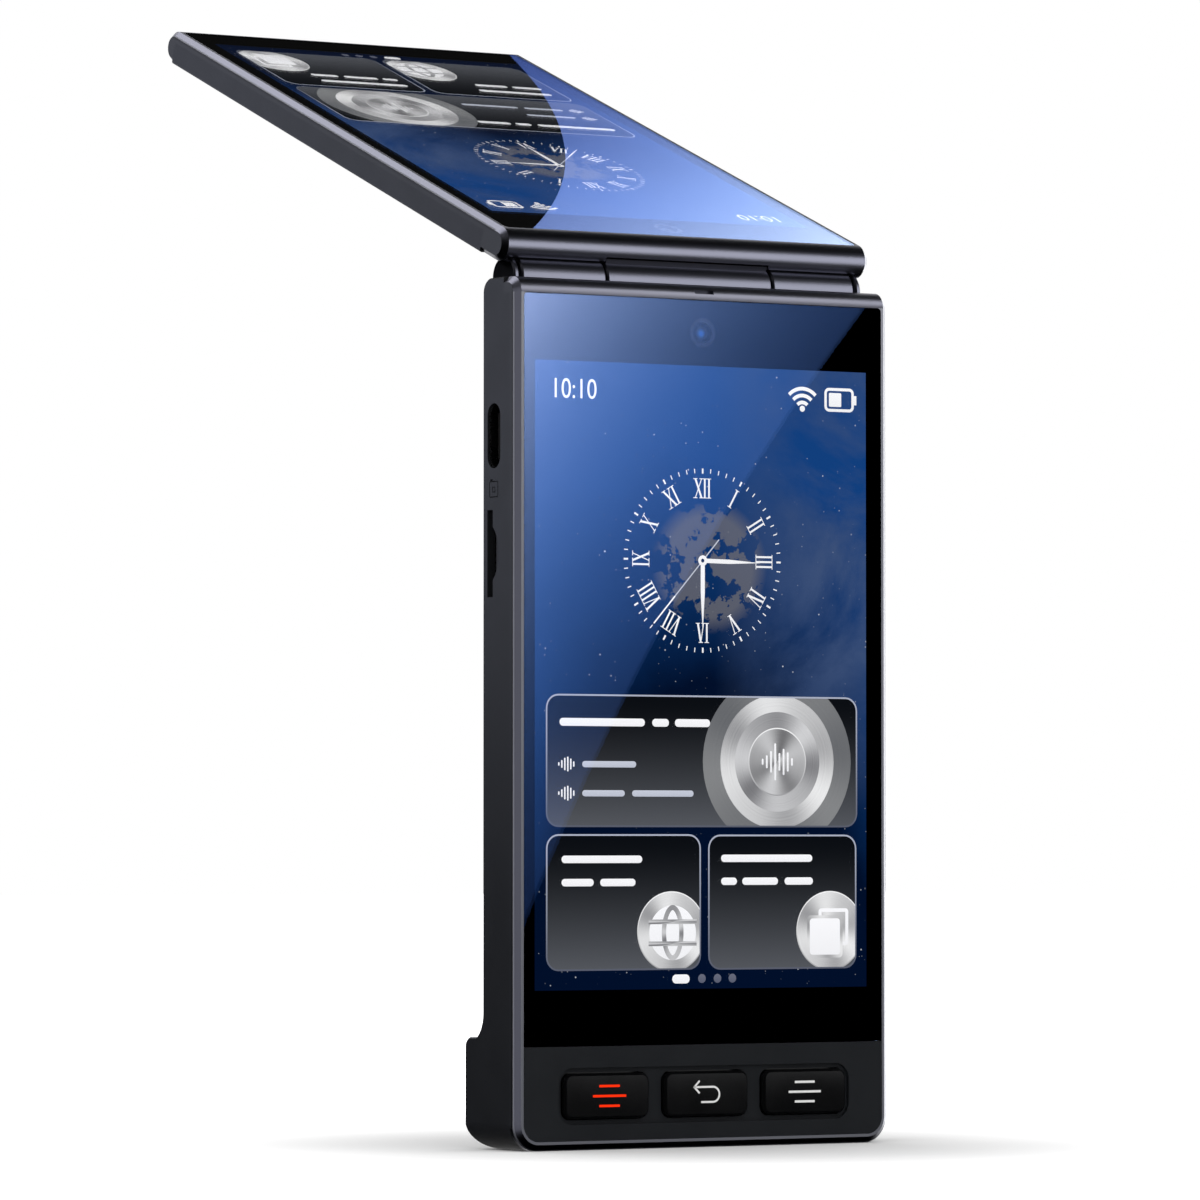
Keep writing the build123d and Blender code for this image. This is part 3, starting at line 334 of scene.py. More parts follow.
def edge_lines(name):
    """A chamfered band's lines, at its lip and at the chamfer's outer edge, and the seam behind them."""
    group, take, leave = new_group(
        name,
        [("Out", "Vector", (0, -1, 0)), ("Front", "Float", 0.0), ("Along", "Vector", (0, 0, -1)),
         ("Reach", "Float", 0.0), ("Chamfer", "Float", 0.9 * MM), ("Line", "Float", 0.17 * MM),
         ("Gap", "Float", 0.3 * MM)],
        [("Lines", "Float"), ("Seam", "Float")],
    )
    where = object_place(group)
    out = vector_node(group, "DOT_PRODUCT", where, take["Out"])
    behind = math_node(group, "SUBTRACT", take["Front"], out)
    along = vector_node(group, "DOT_PRODUCT", where, take["Along"])
    within = math_node(group, "GREATER_THAN", along, take["Reach"])
    inner = math_node(group, "LESS_THAN", behind, 0.02 * MM)
    start = math_node(group, "SUBTRACT", take["Chamfer"], take["Line"])
    outer = math_node(
        group, "MULTIPLY", math_node(group, "GREATER_THAN", behind, start),
        math_node(group, "LESS_THAN", behind, take["Chamfer"]),
    )
    seam = math_node(group, "LESS_THAN", behind, math_node(group, "ADD", take["Chamfer"], take["Gap"]))
    give(
        group, leave, Seam=math_node(group, "MULTIPLY", seam, within),
        Lines=math_node(group, "MULTIPLY", math_node(group, "ADD", inner, outer), within),
    )
    return group


def starry_sky(name):
    """Deep blue night sky: darker towards the foot and the middle, haze on the right, stars of two sizes."""
    group, take, leave = new_group(
        name,
        [("Top", "Color", (0, 0, 0.2, 1)), ("Foot", "Color", (0, 0, 0.03, 1)),
         ("Cloud", "Color", (0.1, 0.1, 0.2, 1))],
        [("Color", "Color")],
    )
    where = uv_place(group)
    axes = split_axes(group, where)
    drift = noise(group, where, Scale=2.2, Detail=6.0, Roughness=0.62)
    middle = math_node(group, "MULTIPLY_ADD", axes["Y"], 1.6, -1.42)
    edge = math_node(group, "MULTIPLY_ADD", axes["Y"], 0.95, -0.40)
    across = math_node(group, "SUBTRACT", axes["X"], 0.5)
    side = math_node(group, "MULTIPLY", math_node(group, "MULTIPLY", across, across), 4.0)
    climb = math_node(group, "MULTIPLY_ADD", side, math_node(group, "SUBTRACT", edge, middle), middle)
    climb = math_node(group, "MULTIPLY_ADD", drift, 0.44, climb, clamp=True)
    sky = mix_colour(group, climb, take["Foot"], take["Top"])
    wisps = noise(group, where, Scale=2.6, Detail=9.0, Roughness=0.62, Distortion=0.35)
    haze = ramp(group, wisps, (0.33, 0.0), (0.58, 1.0))
    right = math_node(group, "MULTIPLY_ADD", across, 2.8, -0.10, clamp=True)
    low = math_node(group, "MULTIPLY_ADD", axes["Y"], 2.0, -0.9, clamp=True)
    haze = math_node(group, "MULTIPLY", haze, math_node(group, "MULTIPLY", right, low))
    sky = mix_colour(group, haze, sky, take["Cloud"])
    # small and large stars: density, reach, sharpness and brightness
    for scale, spread, sharp, level in ((62.0, 0.17, 12.0, 0.55), (24.0, 0.085, 20.0, 0.9)):
        cells = new_node(group, "ShaderNodeTexVoronoi", Scale=scale, Vector=where).outputs
        chance = new_node(group, "ShaderNodeSeparateColor", Color=cells["Color"]).outputs
        size = math_node(group, "MULTIPLY", math_node(group, "POWER", chance[0], 1.6), spread)
        spot = math_node(group, "SUBTRACT", size, cells["Distance"])
        spot = math_node(group, "MULTIPLY", spot, sharp, clamp=True)
        spot = math_node(group, "MULTIPLY", spot, math_node(group, "MULTIPLY", chance[1], level))
        sky = mix_colour(group, spot, sky, (0.9, 0.93, 1.0, 1))
    give(group, leave, Color=sky)
    return group


def turned_disc(name):
    """Face-turned metal under a lamp: bright and dark rays about the middle, and fine turning rings."""
    group, take, leave = new_group(
        name,
        [("Dark", "Color", (0.1, 0.1, 0.1, 1)), ("Bright", "Color", (0.7, 0.7, 0.7, 1)),
         ("Turn", "Float", 0.0)],
        [("Color", "Color")],
    )
    where = uv_place(group)
    angle = new_node(group, "ShaderNodeTexGradient", gradient_type="RADIAL", Vector=where).outputs["Fac"]
    broad = math_node(group, "SINE", math_node(group, "MULTIPLY_ADD", angle, 6 * pi, take["Turn"]))
    fine = math_node(group, "SINE", math_node(group, "MULTIPLY_ADD", angle, 10 * pi, 1.3))
    rays = math_node(group, "MULTIPLY_ADD", broad, 0.32, 0.5)
    rays = math_node(group, "MULTIPLY_ADD", fine, 0.13, rays)
    reach = vector_node(group, "LENGTH", where)
    rings = new_node(group, "ShaderNodeTexNoise", noise_dimensions="1D", Scale=40.0, Detail=2.0, W=reach)
    swing = math_node(group, "SUBTRACT", rings.outputs["Fac"], 0.5)
    rays = math_node(group, "MULTIPLY_ADD", swing, 0.22, rays, clamp=True)
    give(group, leave, Color=mix_colour(group, rays, take["Dark"], take["Bright"]))
    return group


# ---- materials ----


def cover(tree, shader, effect):
    """Joins a shared effect's colour, roughness and normal to a shader."""
    give(
        tree, shader, Base_Color=effect.outputs["Color"], Roughness=effect.outputs["Roughness"],
        Normal=effect.outputs["Normal"],
    )


def grain_node(tree, shade, roughness, scale, depth):
    """The moulded grain in its own colour."""
    return shared(
        tree, moulded_grain, "Moulded Grain", Color=opaque(shade), Roughness=roughness, Grain_Scale=scale,
        Depth=depth,
    )


def brush_node(tree, shade, roughness, contrast):
    """The brush lines in their own colour."""
    return shared(
        tree, brushed_metal, "Brushed Metal", Color=opaque(shade), Roughness=roughness, Contrast=contrast,
    )


def grained(name, shade, roughness, scale, depth, **sockets):
    """Moulded material: grain, mottling and its own colour."""
    material, tree, shader = new_material(name, **sockets)
    cover(tree, shader, grain_node(tree, shade, roughness, scale, depth))
    return material


def brushed(name, shade, roughness, contrast):
    """Metal with brush lines and its own colour."""
    material, tree, shader = new_material(name, Metallic=1.0)
    cover(tree, shader, brush_node(tree, shade, roughness, contrast))
    return material


def edged_metal(name, shade, side_shade, painted_highlight_shade, half_width, **edges):
    """Brushed metal with bright painted highlights on its lines at the lip and at the chamfer's outer edge,
    and moulded plastic side walls.
    """
    material, tree, shader = new_material(name)
    metal = brush_node(tree, shade, METAL_ROUGHNESS, METAL_CONTRAST).outputs
    edge = shared(tree, edge_lines, "Edge Lines", **edges).outputs
    # painted highlight: a brighter colour on the edge lines stands in for light caught by their fine rounds
    painted_edge_highlight = mix_colour(tree, edge["Lines"], metal["Color"], opaque(painted_highlight_shade))
    rough = math_node(tree, "MULTIPLY_ADD", edge["Lines"], 0.30, metal["Roughness"])
    across = math_node(tree, "ABSOLUTE", split_axes(tree, object_place(tree))["X"])
    side = math_node(tree, "GREATER_THAN", across, half_width)
    wall = grain_node(tree, side_shade, *HOUSING_SURFACE).outputs
    seamed = mix_colour(tree, edge["Seam"], wall["Color"], opaque(SEAM_SHADE))
    give(
        tree, shader, Base_Color=mix_colour(tree, side, painted_edge_highlight, seamed),
        Roughness=mix_colour(tree, side, rough, wall["Roughness"]),
        Metallic=math_node(tree, "SUBTRACT", 1.0, side), Normal=metal["Normal"],
    )
    return material


def clear_glass(name, tint, ior):
    """Clear glass, very slightly uneven in tint."""
    material, tree, shader = new_material(name, Roughness=0.0, Transmission_Weight=1.0, IOR=ior)
    drift = noise(tree, object_place(tree), Scale=20.0)
    give(tree, shader, Base_Color=mix_colour(tree, drift, opaque(tint), (1, 1, 1, 1)))
    return material


def lit_material(name, glow):
    """A dark pixel sheet that gives off the colour joined to it; gives its tree and its shader too."""
    return new_material(
        name, Base_Color=(0, 0, 0, 1), Roughness=0.6, Emission_Strength=glow, Specular_IOR_Level=0.0
    )


def picture_materials(picture, screen, glow):
    """The lit inks of one screen's picture, by name."""
    inks = {}
    material, tree, shader = lit_material(f"{screen}_sky", glow)
    sky = shared(
        tree, starry_sky, "Starry Sky", Top=opaque(picture.sky_top), Foot=opaque(picture.sky_foot),
        Cloud=opaque(picture.cloud),
    )
    where = uv_place(tree)
    middle = vector_node(tree, "DISTANCE", where, (0.52, 1.085, 0))
    ball = ramp(tree, middle, (0.13, 1.0), (0.175, 0.0))
    coast = noise(tree, where, Scale=9.0, Detail=7.0, Roughness=0.6)
    ground = math_node(tree, "MULTIPLY", ball, ramp(tree, coast, (0.485, 0.0), (0.492, 1.0)))
    share = math_node(tree, "MULTIPLY", ground, 0.62)
    give(tree, shader, Emission_Color=mix_colour(tree, share, sky.outputs["Color"], opaque(picture.land)))
    inks["sky"] = material

    # inks that run from a foot colour to a top colour
    for name, foot, top in (
        ("card", picture.card_foot, picture.card_top),
        ("card_edge", (0.10, 0.11, 0.15), (0.42, 0.45, 0.55)),
        ("white", tuple(0.92 * part for part in picture.white), picture.white),
        ("bar", (0.50, 0.53, 0.62), (0.58, 0.61, 0.70)),
        ("dot", (0.10, 0.11, 0.16), (0.14, 0.15, 0.2)),
        ("disc_edge", (0.35, 0.35, 0.36), (0.95, 0.95, 0.95)),
        ("hollow", (0.010, 0.03, 0.10), (0.012, 0.035, 0.12)),
    ):
        material, tree, shader = lit_material(f"{screen}_{name}", glow)
        climb = math_node(tree, "MULTIPLY_ADD", split_axes(tree, uv_place(tree))["Y"], 0.5, 0.5, clamp=True)
        if name == "card":
            left = math_node(tree, "POWER", math_node(tree, "SUBTRACT", 1.0, climb), 1.9)
            climb = math_node(tree, "SUBTRACT", 1.0, left)
        give(tree, shader, Emission_Color=mix_colour(tree, climb, opaque(foot), opaque(top)))
        inks[name] = material

    # turned discs, with the angle of their rays
    for name, dark, bright, turn in (
        ("halo", (0.13, 0.135, 0.145), (0.24, 0.245, 0.25), 0.6),
        ("bright_disc", (0.30, 0.30, 0.31), (0.86, 0.86, 0.86), 0.0),
        ("middle_disc", (0.17, 0.17, 0.18), (0.66, 0.66, 0.67), 2.4),
        ("inner_disc", (0.15, 0.15, 0.155), (0.62, 0.62, 0.63), 4.0),
    ):
        material, tree, shader = lit_material(f"{screen}_{name}", glow)
        disc = shared(tree, turned_disc, "Turned Disc", Dark=opaque(dark), Bright=opaque(bright), Turn=turn)
        give(tree, shader, Emission_Color=disc.outputs["Color"])
        inks[name] = material
    return inks


# ---- flat shapes for the pictures and marks ----

CORNER_STEPS = 6
ROUND_END = 2.05  # thickness of a bar over the radius of its ends, a hair short of half rounds
FIGURE_TALL, FIGURE_NARROW = 0.69, 0.86  # height of the built-in numerals, and their squeeze across


class FlatArt:
    """Flat shapes in thin layers, drawn in their own units with x across and y up."""

    def __init__(self):
        self.mesh = bmesh.new()
        self.uv = self.mesh.loops.layers.uv.new("UVMap")
        self.inks = []

    def ink(self, faces, material, centre, half):
        """Gives faces their material, and a UV that runs from -1 to 1 about their own centre."""
        if material not in self.inks:
            self.inks.append(material)
        for face in faces:
            face.material_index = self.inks.index(material)
            for loop in face.loops:
                place = loop.vert.co
                loop[self.uv].uv = ((place.x - centre[0]) / half[0], (place.y - centre[1]) / half[1])

    def keep(self, faces, clips):
        """Cuts faces off at each (point, outward direction); gives the faces that stay."""
        for point, direction in clips:
            parts = set(faces) | {e for f in faces for e in f.edges} | {v for f in faces for v in f.verts}
            cut = bmesh.ops.bisect_plane(
                self.mesh, geom=list(parts), plane_co=(*point, 0), plane_no=(*direction, 0), clear_outer=True
            )
            faces = [part for part in cut["geom"] if isinstance(part, bmesh.types.BMFace) and part.is_valid]
        return faces

    def added(self, before):
        """The faces that weren't there before."""
        return [face for face in self.mesh.faces if face not in before]

    def hollow(self, rim, before):
        """Insets the added faces by the rim and takes their middles away; gives the rim."""
        faces = self.added(before)
        bmesh.ops.inset_region(self.mesh, faces=faces, thickness=rim, use_even_offset=True, use_boundary=True)
        bmesh.ops.delete(self.mesh, geom=faces, context="FACES")
        return self.added(before)

    def card(self, material, x0, x1, y0, y1, corner=0.0, layer=0, turn=0.0, about=(0, 0), clips=(), rim=0.0):
        """A rectangle with round corners; with a rim it is only a frame of that width."""
        centre = ((x0 + x1) / 2, (y0 + y1) / 2)
        spin = Matrix.Translation((*about, 0)) @ Matrix.Rotation(turn, 4, "Z")
        place = spin @ Matrix.Translation((*centre, layer)) @ Matrix.Diagonal((x1 - x0, y1 - y0, 1, 1))
        before = set(self.mesh.faces)
        made = bmesh.ops.create_grid(self.mesh, x_segments=1, y_segments=1, size=0.5, matrix=place)
        if corner > 0:
            bmesh.ops.bevel(
                self.mesh, geom=made["verts"], affect="VERTICES", offset=corner, segments=CORNER_STEPS,
                profile=0.5, material=-1,
            )
        faces = self.keep(self.hollow(rim, before) if rim > 0 else self.added(before), clips)
        self.ink(faces, material, (spin @ Vector((*centre, 0))).to_2d(), ((x1 - x0) / 2, (y1 - y0) / 2))

    def disc(self, material, x, y, radius, layer=0, hole=0.0, clips=(), segments=64, narrow=1.0):
        """A round shape, or a ring when it has a hole; narrow squeezes it across."""
        before = set(self.mesh.faces)
        place = Matrix.Translation((x, y, layer)) @ Matrix.Diagonal((narrow, 1, 1, 1))
        bmesh.ops.create_circle(self.mesh, cap_ends=True, segments=segments, radius=radius, matrix=place)
        faces = self.keep(self.hollow(radius - hole, before) if hole > 0 else self.added(before), clips)
        self.ink(faces, material, (x, y), (radius, radius))

    def words(self, material, y, runs, height, layer):
        """Plain round-ended bars where lines of words would stand; runs are (start, end) places across."""
        for start, end in runs:
            self.card(material, start, end, y - height / 2, y + height / 2, height / ROUND_END, layer)

    def wave(self, material, x, y, heights, pitch, width, layer):
        """A sound wave mark: a row of round-ended bars of different heights."""
        for place, high in enumerate(heights):
            at = x + (place - (len(heights) - 1) / 2) * pitch
            half, tall = width / 2, high / 2
            self.card(material, at - half, at + half, y - tall, y + tall, width / ROUND_END, layer)

    def figures(self, material, text, x, y, height, layer):
        """Numerals from the built-in font, with their left foot at x, y."""
        curve = bpy.data.curves.new("figures", "FONT")
        curve.body = text
        curve.size = height / FIGURE_TALL
        holder = bpy.data.objects.new("figures", curve)
        drawn = bpy.data.meshes.new_from_object(holder)
        drawn.transform(Matrix.Translation((x, y, layer)) @ Matrix.Diagonal((FIGURE_NARROW, 1, 1, 1)))
        before = set(self.mesh.faces)
        self.mesh.from_mesh(drawn)
        self.ink(self.added(before), material, (x, y), (height, height))
        bpy.data.objects.remove(holder)
        bpy.data.meshes.remove(drawn)
        bpy.data.curves.remove(curve)

    def finish(self, name, place):
        """The object, with its shapes moved from their own units to the part by place."""
        self.mesh.transform(place)
        return scene_object(name, self.mesh, self.inks)


def scene_object(name, sheet, materials):
    """Turns a bmesh into an object of the scene, with its materials."""
    mesh = bpy.data.meshes.new(name)
    sheet.to_mesh(mesh)
    sheet.free()
    for material in materials:
        mesh.materials.append(material)
    thing = bpy.data.objects.new(name, mesh)
    bpy.context.scene.collection.objects.link(thing)
    return thing


def axes_place(origin, across, up, out):
    """The matrix that takes flat shapes to the part: x goes across, y goes up and z, the layer, goes out."""
    return Matrix.Translation(origin) @ Matrix((across, up, out)).transposed().to_4x4()


# the picture's units: 100 across and 160 up
PICTURE_UNITS = (100.0, 160.0)
CLOCK = (50.0, 109.9)
CLOCK_RADIUS = 23.7
LONG_TICK, SHORT_TICK = (1.3, 0.24), (1.15, 0.13)  # length and half width
NUMERAL_HEIGHT = 4.9
NUMERAL_RING = 18.6  # radius of the numerals' middles
SERIF = (0.13, 0.02)  # half width and half height over the numeral's height
HANDS = ((-radians(180), 18.6, 0.62), (-radians(91), 17.6, 0.55))  # turn, reach and half width
SECONDS_TURN, SECONDS_FOOT = -radians(42), -22.0
SIGNAL = (80.4, 149.5)  # foot of the signal arcs
WIDE_CARD = (3.3, 97.2, 41.4, 75.2)
LEFT_CARD = (3.35, 49.4, 4.9, 39.6)
RIGHT_CARD = (51.6, 96.9, 4.8, 39.5)
CARD_CORNER = 3.6
CARD_EDGE = 0.42

# strokes of the numerals, as (foot, head, width) across a height of 1
STROKES = {
    "I": (0.26, ((0.13, 0.13, 0.10),)),
    "V": (0.50, ((0.26, 0.08, 0.11), (0.26, 0.43, 0.05))),
    "X": (0.52, ((0.45, 0.07, 0.11), (0.07, 0.45, 0.05))),
}
NUMERALS = ("XII", "I", "II", "III", "IV", "V", "VI", "VII", "VIII", "IX", "X", "XI")
UPRIGHT = ("XII", "VI")


def draw_clock(art, ink):
    """The dial's ticks, numerals, hands and hub."""
    for minute in range(60):
        reach, half = SHORT_TICK if minute % 5 else LONG_TICK
        art.card(
            ink["white"], -half, half, CLOCK_RADIUS - reach, CLOCK_RADIUS, 0, 1, -radians(6 * minute), CLOCK
        )
    for hour, numeral in enumerate(NUMERALS):
        turn = -radians(30 * hour)
        centre = Vector(CLOCK) + NUMERAL_RING * Vector((sin(-turn), cos(turn)))
        if numeral in UPRIGHT:
            turn = 0.0
        across = -sum(STROKES[letter][0] for letter in numeral) / 2
        for letter in numeral:
            step, strokes = STROKES[letter]
            for foot, head, width in strokes:
                draw_stroke(art, ink["white"], centre, turn, across + foot, across + head, width)
            across += step
    for turn, reach, half in HANDS:
        clips = hand_clips(turn, reach, half)
        art.card(ink["white"], -half, half, -half, reach, half * 0.98, 3, turn, CLOCK, clips=clips)
    for name, half, head, layer in (("bar", 0.16, 7.4, 3), ("white", 0.2, -12.5, 4)):
        art.card(ink[name], -half, half, SECONDS_FOOT, head, 0, layer, SECONDS_TURN, CLOCK)
    art.disc(ink["white"], *CLOCK, 1.35, 5)
    art.disc(ink["hollow"], *CLOCK, 0.5, 6)


def hand_clips(turn, reach, half):
    """The two cuts that sharpen a hand towards its tip."""
    tip = Vector(CLOCK) + reach * Vector((-sin(turn), cos(turn)))
    for side in (-1, 1):
        lean = turn + side * half / (reach * 0.55)
        yield tip, (side * cos(lean), side * sin(lean))


def draw_stroke(art, material, centre, turn, foot, head, width):
    """One slanted stroke of a numeral with a short serif at each end."""
    height = NUMERAL_HEIGHT
    slant = Vector(((head - foot) * height, height))
    stroke_turn = turn - (pi / 2 - slant.angle(Vector((1, 0))))
    spin = Matrix.Rotation(turn, 2)
    middle = centre + spin @ Vector(((foot + head) / 2 * height, 0))
    half, tall = width / 2 * height, slant.length / 2
    art.card(material, -half, half, -tall, tall, 0, 2, stroke_turn, middle)
    wide, thick = SERIF[0] * height, SERIF[1] * height
    for end, across in ((-0.5, foot), (0.5, head)):
        place = centre + spin @ Vector((across * height, end * height))
        art.card(material, -wide, wide, -thick, thick, 0, 2, turn, place)


def draw_status(art, ink):
    """The time, the signal arcs and the battery along the top of the picture."""
    art.figures(ink["white"], "10:10", 4.6, 150.5, 5.0, 1)
    wedge = ((SIGNAL, (0.707, -0.707)), (SIGNAL, (-0.707, -0.707)))
    for radius in (6.2, 4.4, 2.6):
        art.disc(ink["white"], *SIGNAL, radius, 1, radius - 0.95, wedge)
    art.disc(ink["white"], 80.4, 150.0, 0.8, 1, segments=24)
    art.card(ink["white"], 87.2, 96.3, 149.5, 155.7, 1.4, 1, rim=0.75)
    art.card(ink["white"], 96.3, 97.1, 151.4, 153.8, 0, 1)
    art.card(ink["white"], 88.6, 92.4, 150.8, 154.4, 0.3, 1)


def inside_edge(card):
    """A card's sides without its thin edge."""
    x0, x1, y0, y1 = card
    return x0 + CARD_EDGE, x1 - CARD_EDGE, y0 + CARD_EDGE, y1 - CARD_EDGE


def card_clips(card):
    """The four cuts that keep a round shape inside its card's edge."""
    x0, x1, y0, y1 = inside_edge(card)
    x, y = (x0 + x1) / 2, (y0 + y1) / 2
    return (((x0, y), (-1, 0)), ((x1, y), (1, 0)), ((x, y0), (0, -1)), ((x, y1), (0, 1)))


def draw_cards(art, ink):
    """The three dark glass cards with their turned discs, marks and bars."""
    for card in (WIDE_CARD, LEFT_CARD, RIGHT_CARD):
        art.card(ink["card_edge"], *card, CARD_CORNER, 1)
        art.card(ink["card"], *inside_edge(card), CARD_CORNER - CARD_EDGE, 2)
    centre = (72.6, 58.3)
    for name, radius, layer in (("halo", 22.6, 3), ("bright_disc", 17.3, 4), ("middle_disc", 12.9, 5)):
        art.disc(ink[name], *centre, radius, layer, clips=card_clips(WIDE_CARD))
    art.disc(ink["disc_edge"], *centre, 8.8, 6)
    art.disc(ink["inner_disc"], *centre, 8.5, 7)
    art.wave(ink["white"], *centre, (1.6, 3.4, 5.6, 9.6, 4.6, 6.8, 5.0, 2.0), 1.28, 0.55, 8)
    art.words(ink["white"], 68.1, ((7.3, 32.6), (34.8, 39.8), (41.6, 52.2)), 2.0, 3)
    for y, runs in ((57.4, ((14.0, 30.0),)), (50.0, ((14.0, 26.6), (28.8, 47.2)))):
        art.wave(ink["white"], 9.3, y, (0.9, 2.0, 3.2, 3.8, 2.8, 1.4), 0.88, 0.42, 3)
        art.words(ink["bar"], y, runs, 1.6, 3)
    for card, centre, *lines in (
        (LEFT_CARD, (40.6, 14.7), (33.2, ((7.9, 31.8),)), (27.3, ((7.9, 17.4), (19.3, 29.8)))),
        (RIGHT_CARD, (88.7, 14.6), (33.4, ((55.5, 83.3),)),
         (27.5, ((55.5, 60.3), (61.9, 72.8), (74.8, 83.5)))),
    ):
        art.disc(ink["disc_edge"], *centre, 10.3, 3, clips=card_clips(card))
        art.disc(ink["bright_disc"], *centre, 10.0, 4, clips=card_clips(card))
        for y, runs in lines:
            art.words(ink["white"], y, runs, 1.9, 3)
    draw_globe(art, ink, 40.9, 14.4)
    draw_sheets(art, ink, 88.2, 14.2)
    art.card(ink["white"], 40.8, 46.0, 1.4, 3.7, 1.1, 1)
    for x in (49.7, 54.4, 58.9):
        art.disc(ink["dot"], x, 2.6, 1.15, 1, segments=24)


def draw_globe(art, ink, x, y):
    """A white ball with its meridian and two parallels left open."""
    art.disc(ink["white"], x, y, 7.0, 5)
    art.disc(ink["middle_disc"], x, y, 7.1, 6, 5.8, narrow=0.46)
    for side in (-1, 1):
        art.card(ink["middle_disc"], x - 7.2, x + 7.2, y + side * 2.8 - 0.6, y + side * 2.8 + 0.6, 0, 7)


def draw_sheets(art, ink, x, y):
    """Two overlapping sheets: the front one filled, the back one a thin corner."""
    art.card(ink["white"], x - 3.0, x + 6.2, y - 3.4, y + 6.2, 0.9, 5, rim=0.95)
    art.card(ink["bright_disc"], x - 6.5, x + 4.4, y - 6.6, y + 4.4, 1.1, 6)
    art.card(ink["white"], x - 5.7, x + 3.6, y - 5.8, y + 3.6, 0.9, 7)


def draw_picture(name, origin, axes, window, ink):
    """One whole lit picture, drawn in its own units and moved to its window, layer over layer."""
    art = FlatArt()
    wide, tall = PICTURE_UNITS
    art.card(ink["sky"], 0, wide, 0, tall)
    art.ink(art.mesh.faces, ink["sky"], (0, 0), (wide, wide))
    draw_status(art, ink)
    draw_clock(art, ink)
    draw_cards(art, ink)
    left, right, foot, top = window
    across, up, out = axes
    return art.finish(
        name, axes_place(origin, across * ((right - left) / wide), up * ((top - foot) / tall), out * LAYER)
    )


def front_window(picture):
    """The left, right, foot and top of the front picture."""
    return (panel_low.x + picture.side_border, panel_high.x - picture.side_border,
            panel_low.z + picture.foot_border, panel_high.z - picture.top_border)


def lid_window(picture):
    """The left, right, foot and top of the lid's picture, in the lid's own directions."""
    return (lid_panel_low[0] + picture.lid_side_border, lid_panel_high[0] - picture.lid_side_border,
            lid_panel_low[1] + picture.lid_foot_border, lid_panel_high[1] - picture.lid_top_border)


# ---- operators: one for each piece or group of like pieces ----

BARREL = ("hinge_knuckle", "hinge_sleeve_left", "hinge_sleeve_right", "hinge_cap_left", "hinge_cap_right")
CAPS = ("left_talk_key", "home_key", "right_talk_key")
SHELLS = ("main_housing", "lid_back_cover", "power_key", "volume_rocker")


def dress(nodes, material):
    """Gives CAD nodes a material in every slot they have."""
    for name in nodes:
        node = frame["nodes"][name]
        if not node.material_slots:
            node.data.materials.append(material)
        for slot in node.material_slots:
            slot.material = material


class TRANSLATOR_OT_metal_bands(Operator):
    """Finishes the front bezel, the lid frame and the hinge barrel in dark polished metal"""
    bl_idname = "translator.metal_bands"
    bl_label = "Metal Bands"

    chamfer: length("Chamfer", "Chamfer round the front bezel", 0.9 * MM)
    lid_chamfer: length("Lid Chamfer", "Chamfer round the lid frame", 0.8 * MM)
    rail: length("Top Rail", "Height where the rolled top rail begins", 120.7 * MM)
    nose: length("Lid Nose", "Length of the rolled edge at the lid's hinge end", 3.2 * MM)

    def execute(self, context):
        finish = context.scene.translator_finish
        dress(BARREL, brushed("barrel_metal", finish.metal, METAL_ROUGHNESS, METAL_CONTRAST))
        # each band's third colour is the painted highlight on its edge lines
        dress(("front_bezel",), edged_metal(
            "bezel_metal", finish.metal, finish.housing, (0.62, 0.63, 0.68), housing_high.x - SIDE_INSET,
            Out=FRONT, Front=-glass_low.y, Along=-UP, Reach=-self.rail, Chamfer=self.chamfer,
        ))
        dress(("lid_frame",), edged_metal(
            "lid_frame_metal", finish.metal, finish.housing, (0.22, 0.225, 0.25),
            lid_frame_high[0] - SIDE_INSET, Out=lid_out,
            Front=lid_out.dot(hinge_place) + lid_frame_high[2], Along=lid_up,
            Reach=lid_up.dot(hinge_place) + lid_frame_low[1] + self.nose, Chamfer=self.lid_chamfer,
        ))
        return {"FINISHED"}


class TRANSLATOR_OT_housings(Operator):
    """Finishes the moulded housing, the lid's back cover and the side keys in charcoal plastic"""
    bl_idname = "translator.housings"
    bl_label = "Housings"

    def execute(self, context):
        finish = context.scene.translator_finish
        shell = grained("charcoal_housing", finish.housing, *HOUSING_SURFACE)
        dress(("main_housing", "lid_back_cover"), shell)
        dress(("power_key", "volume_rocker"), grained("side_key_plastic", finish.housing, 0.38, 9000.0, 0.06))
        return {"FINISHED"}


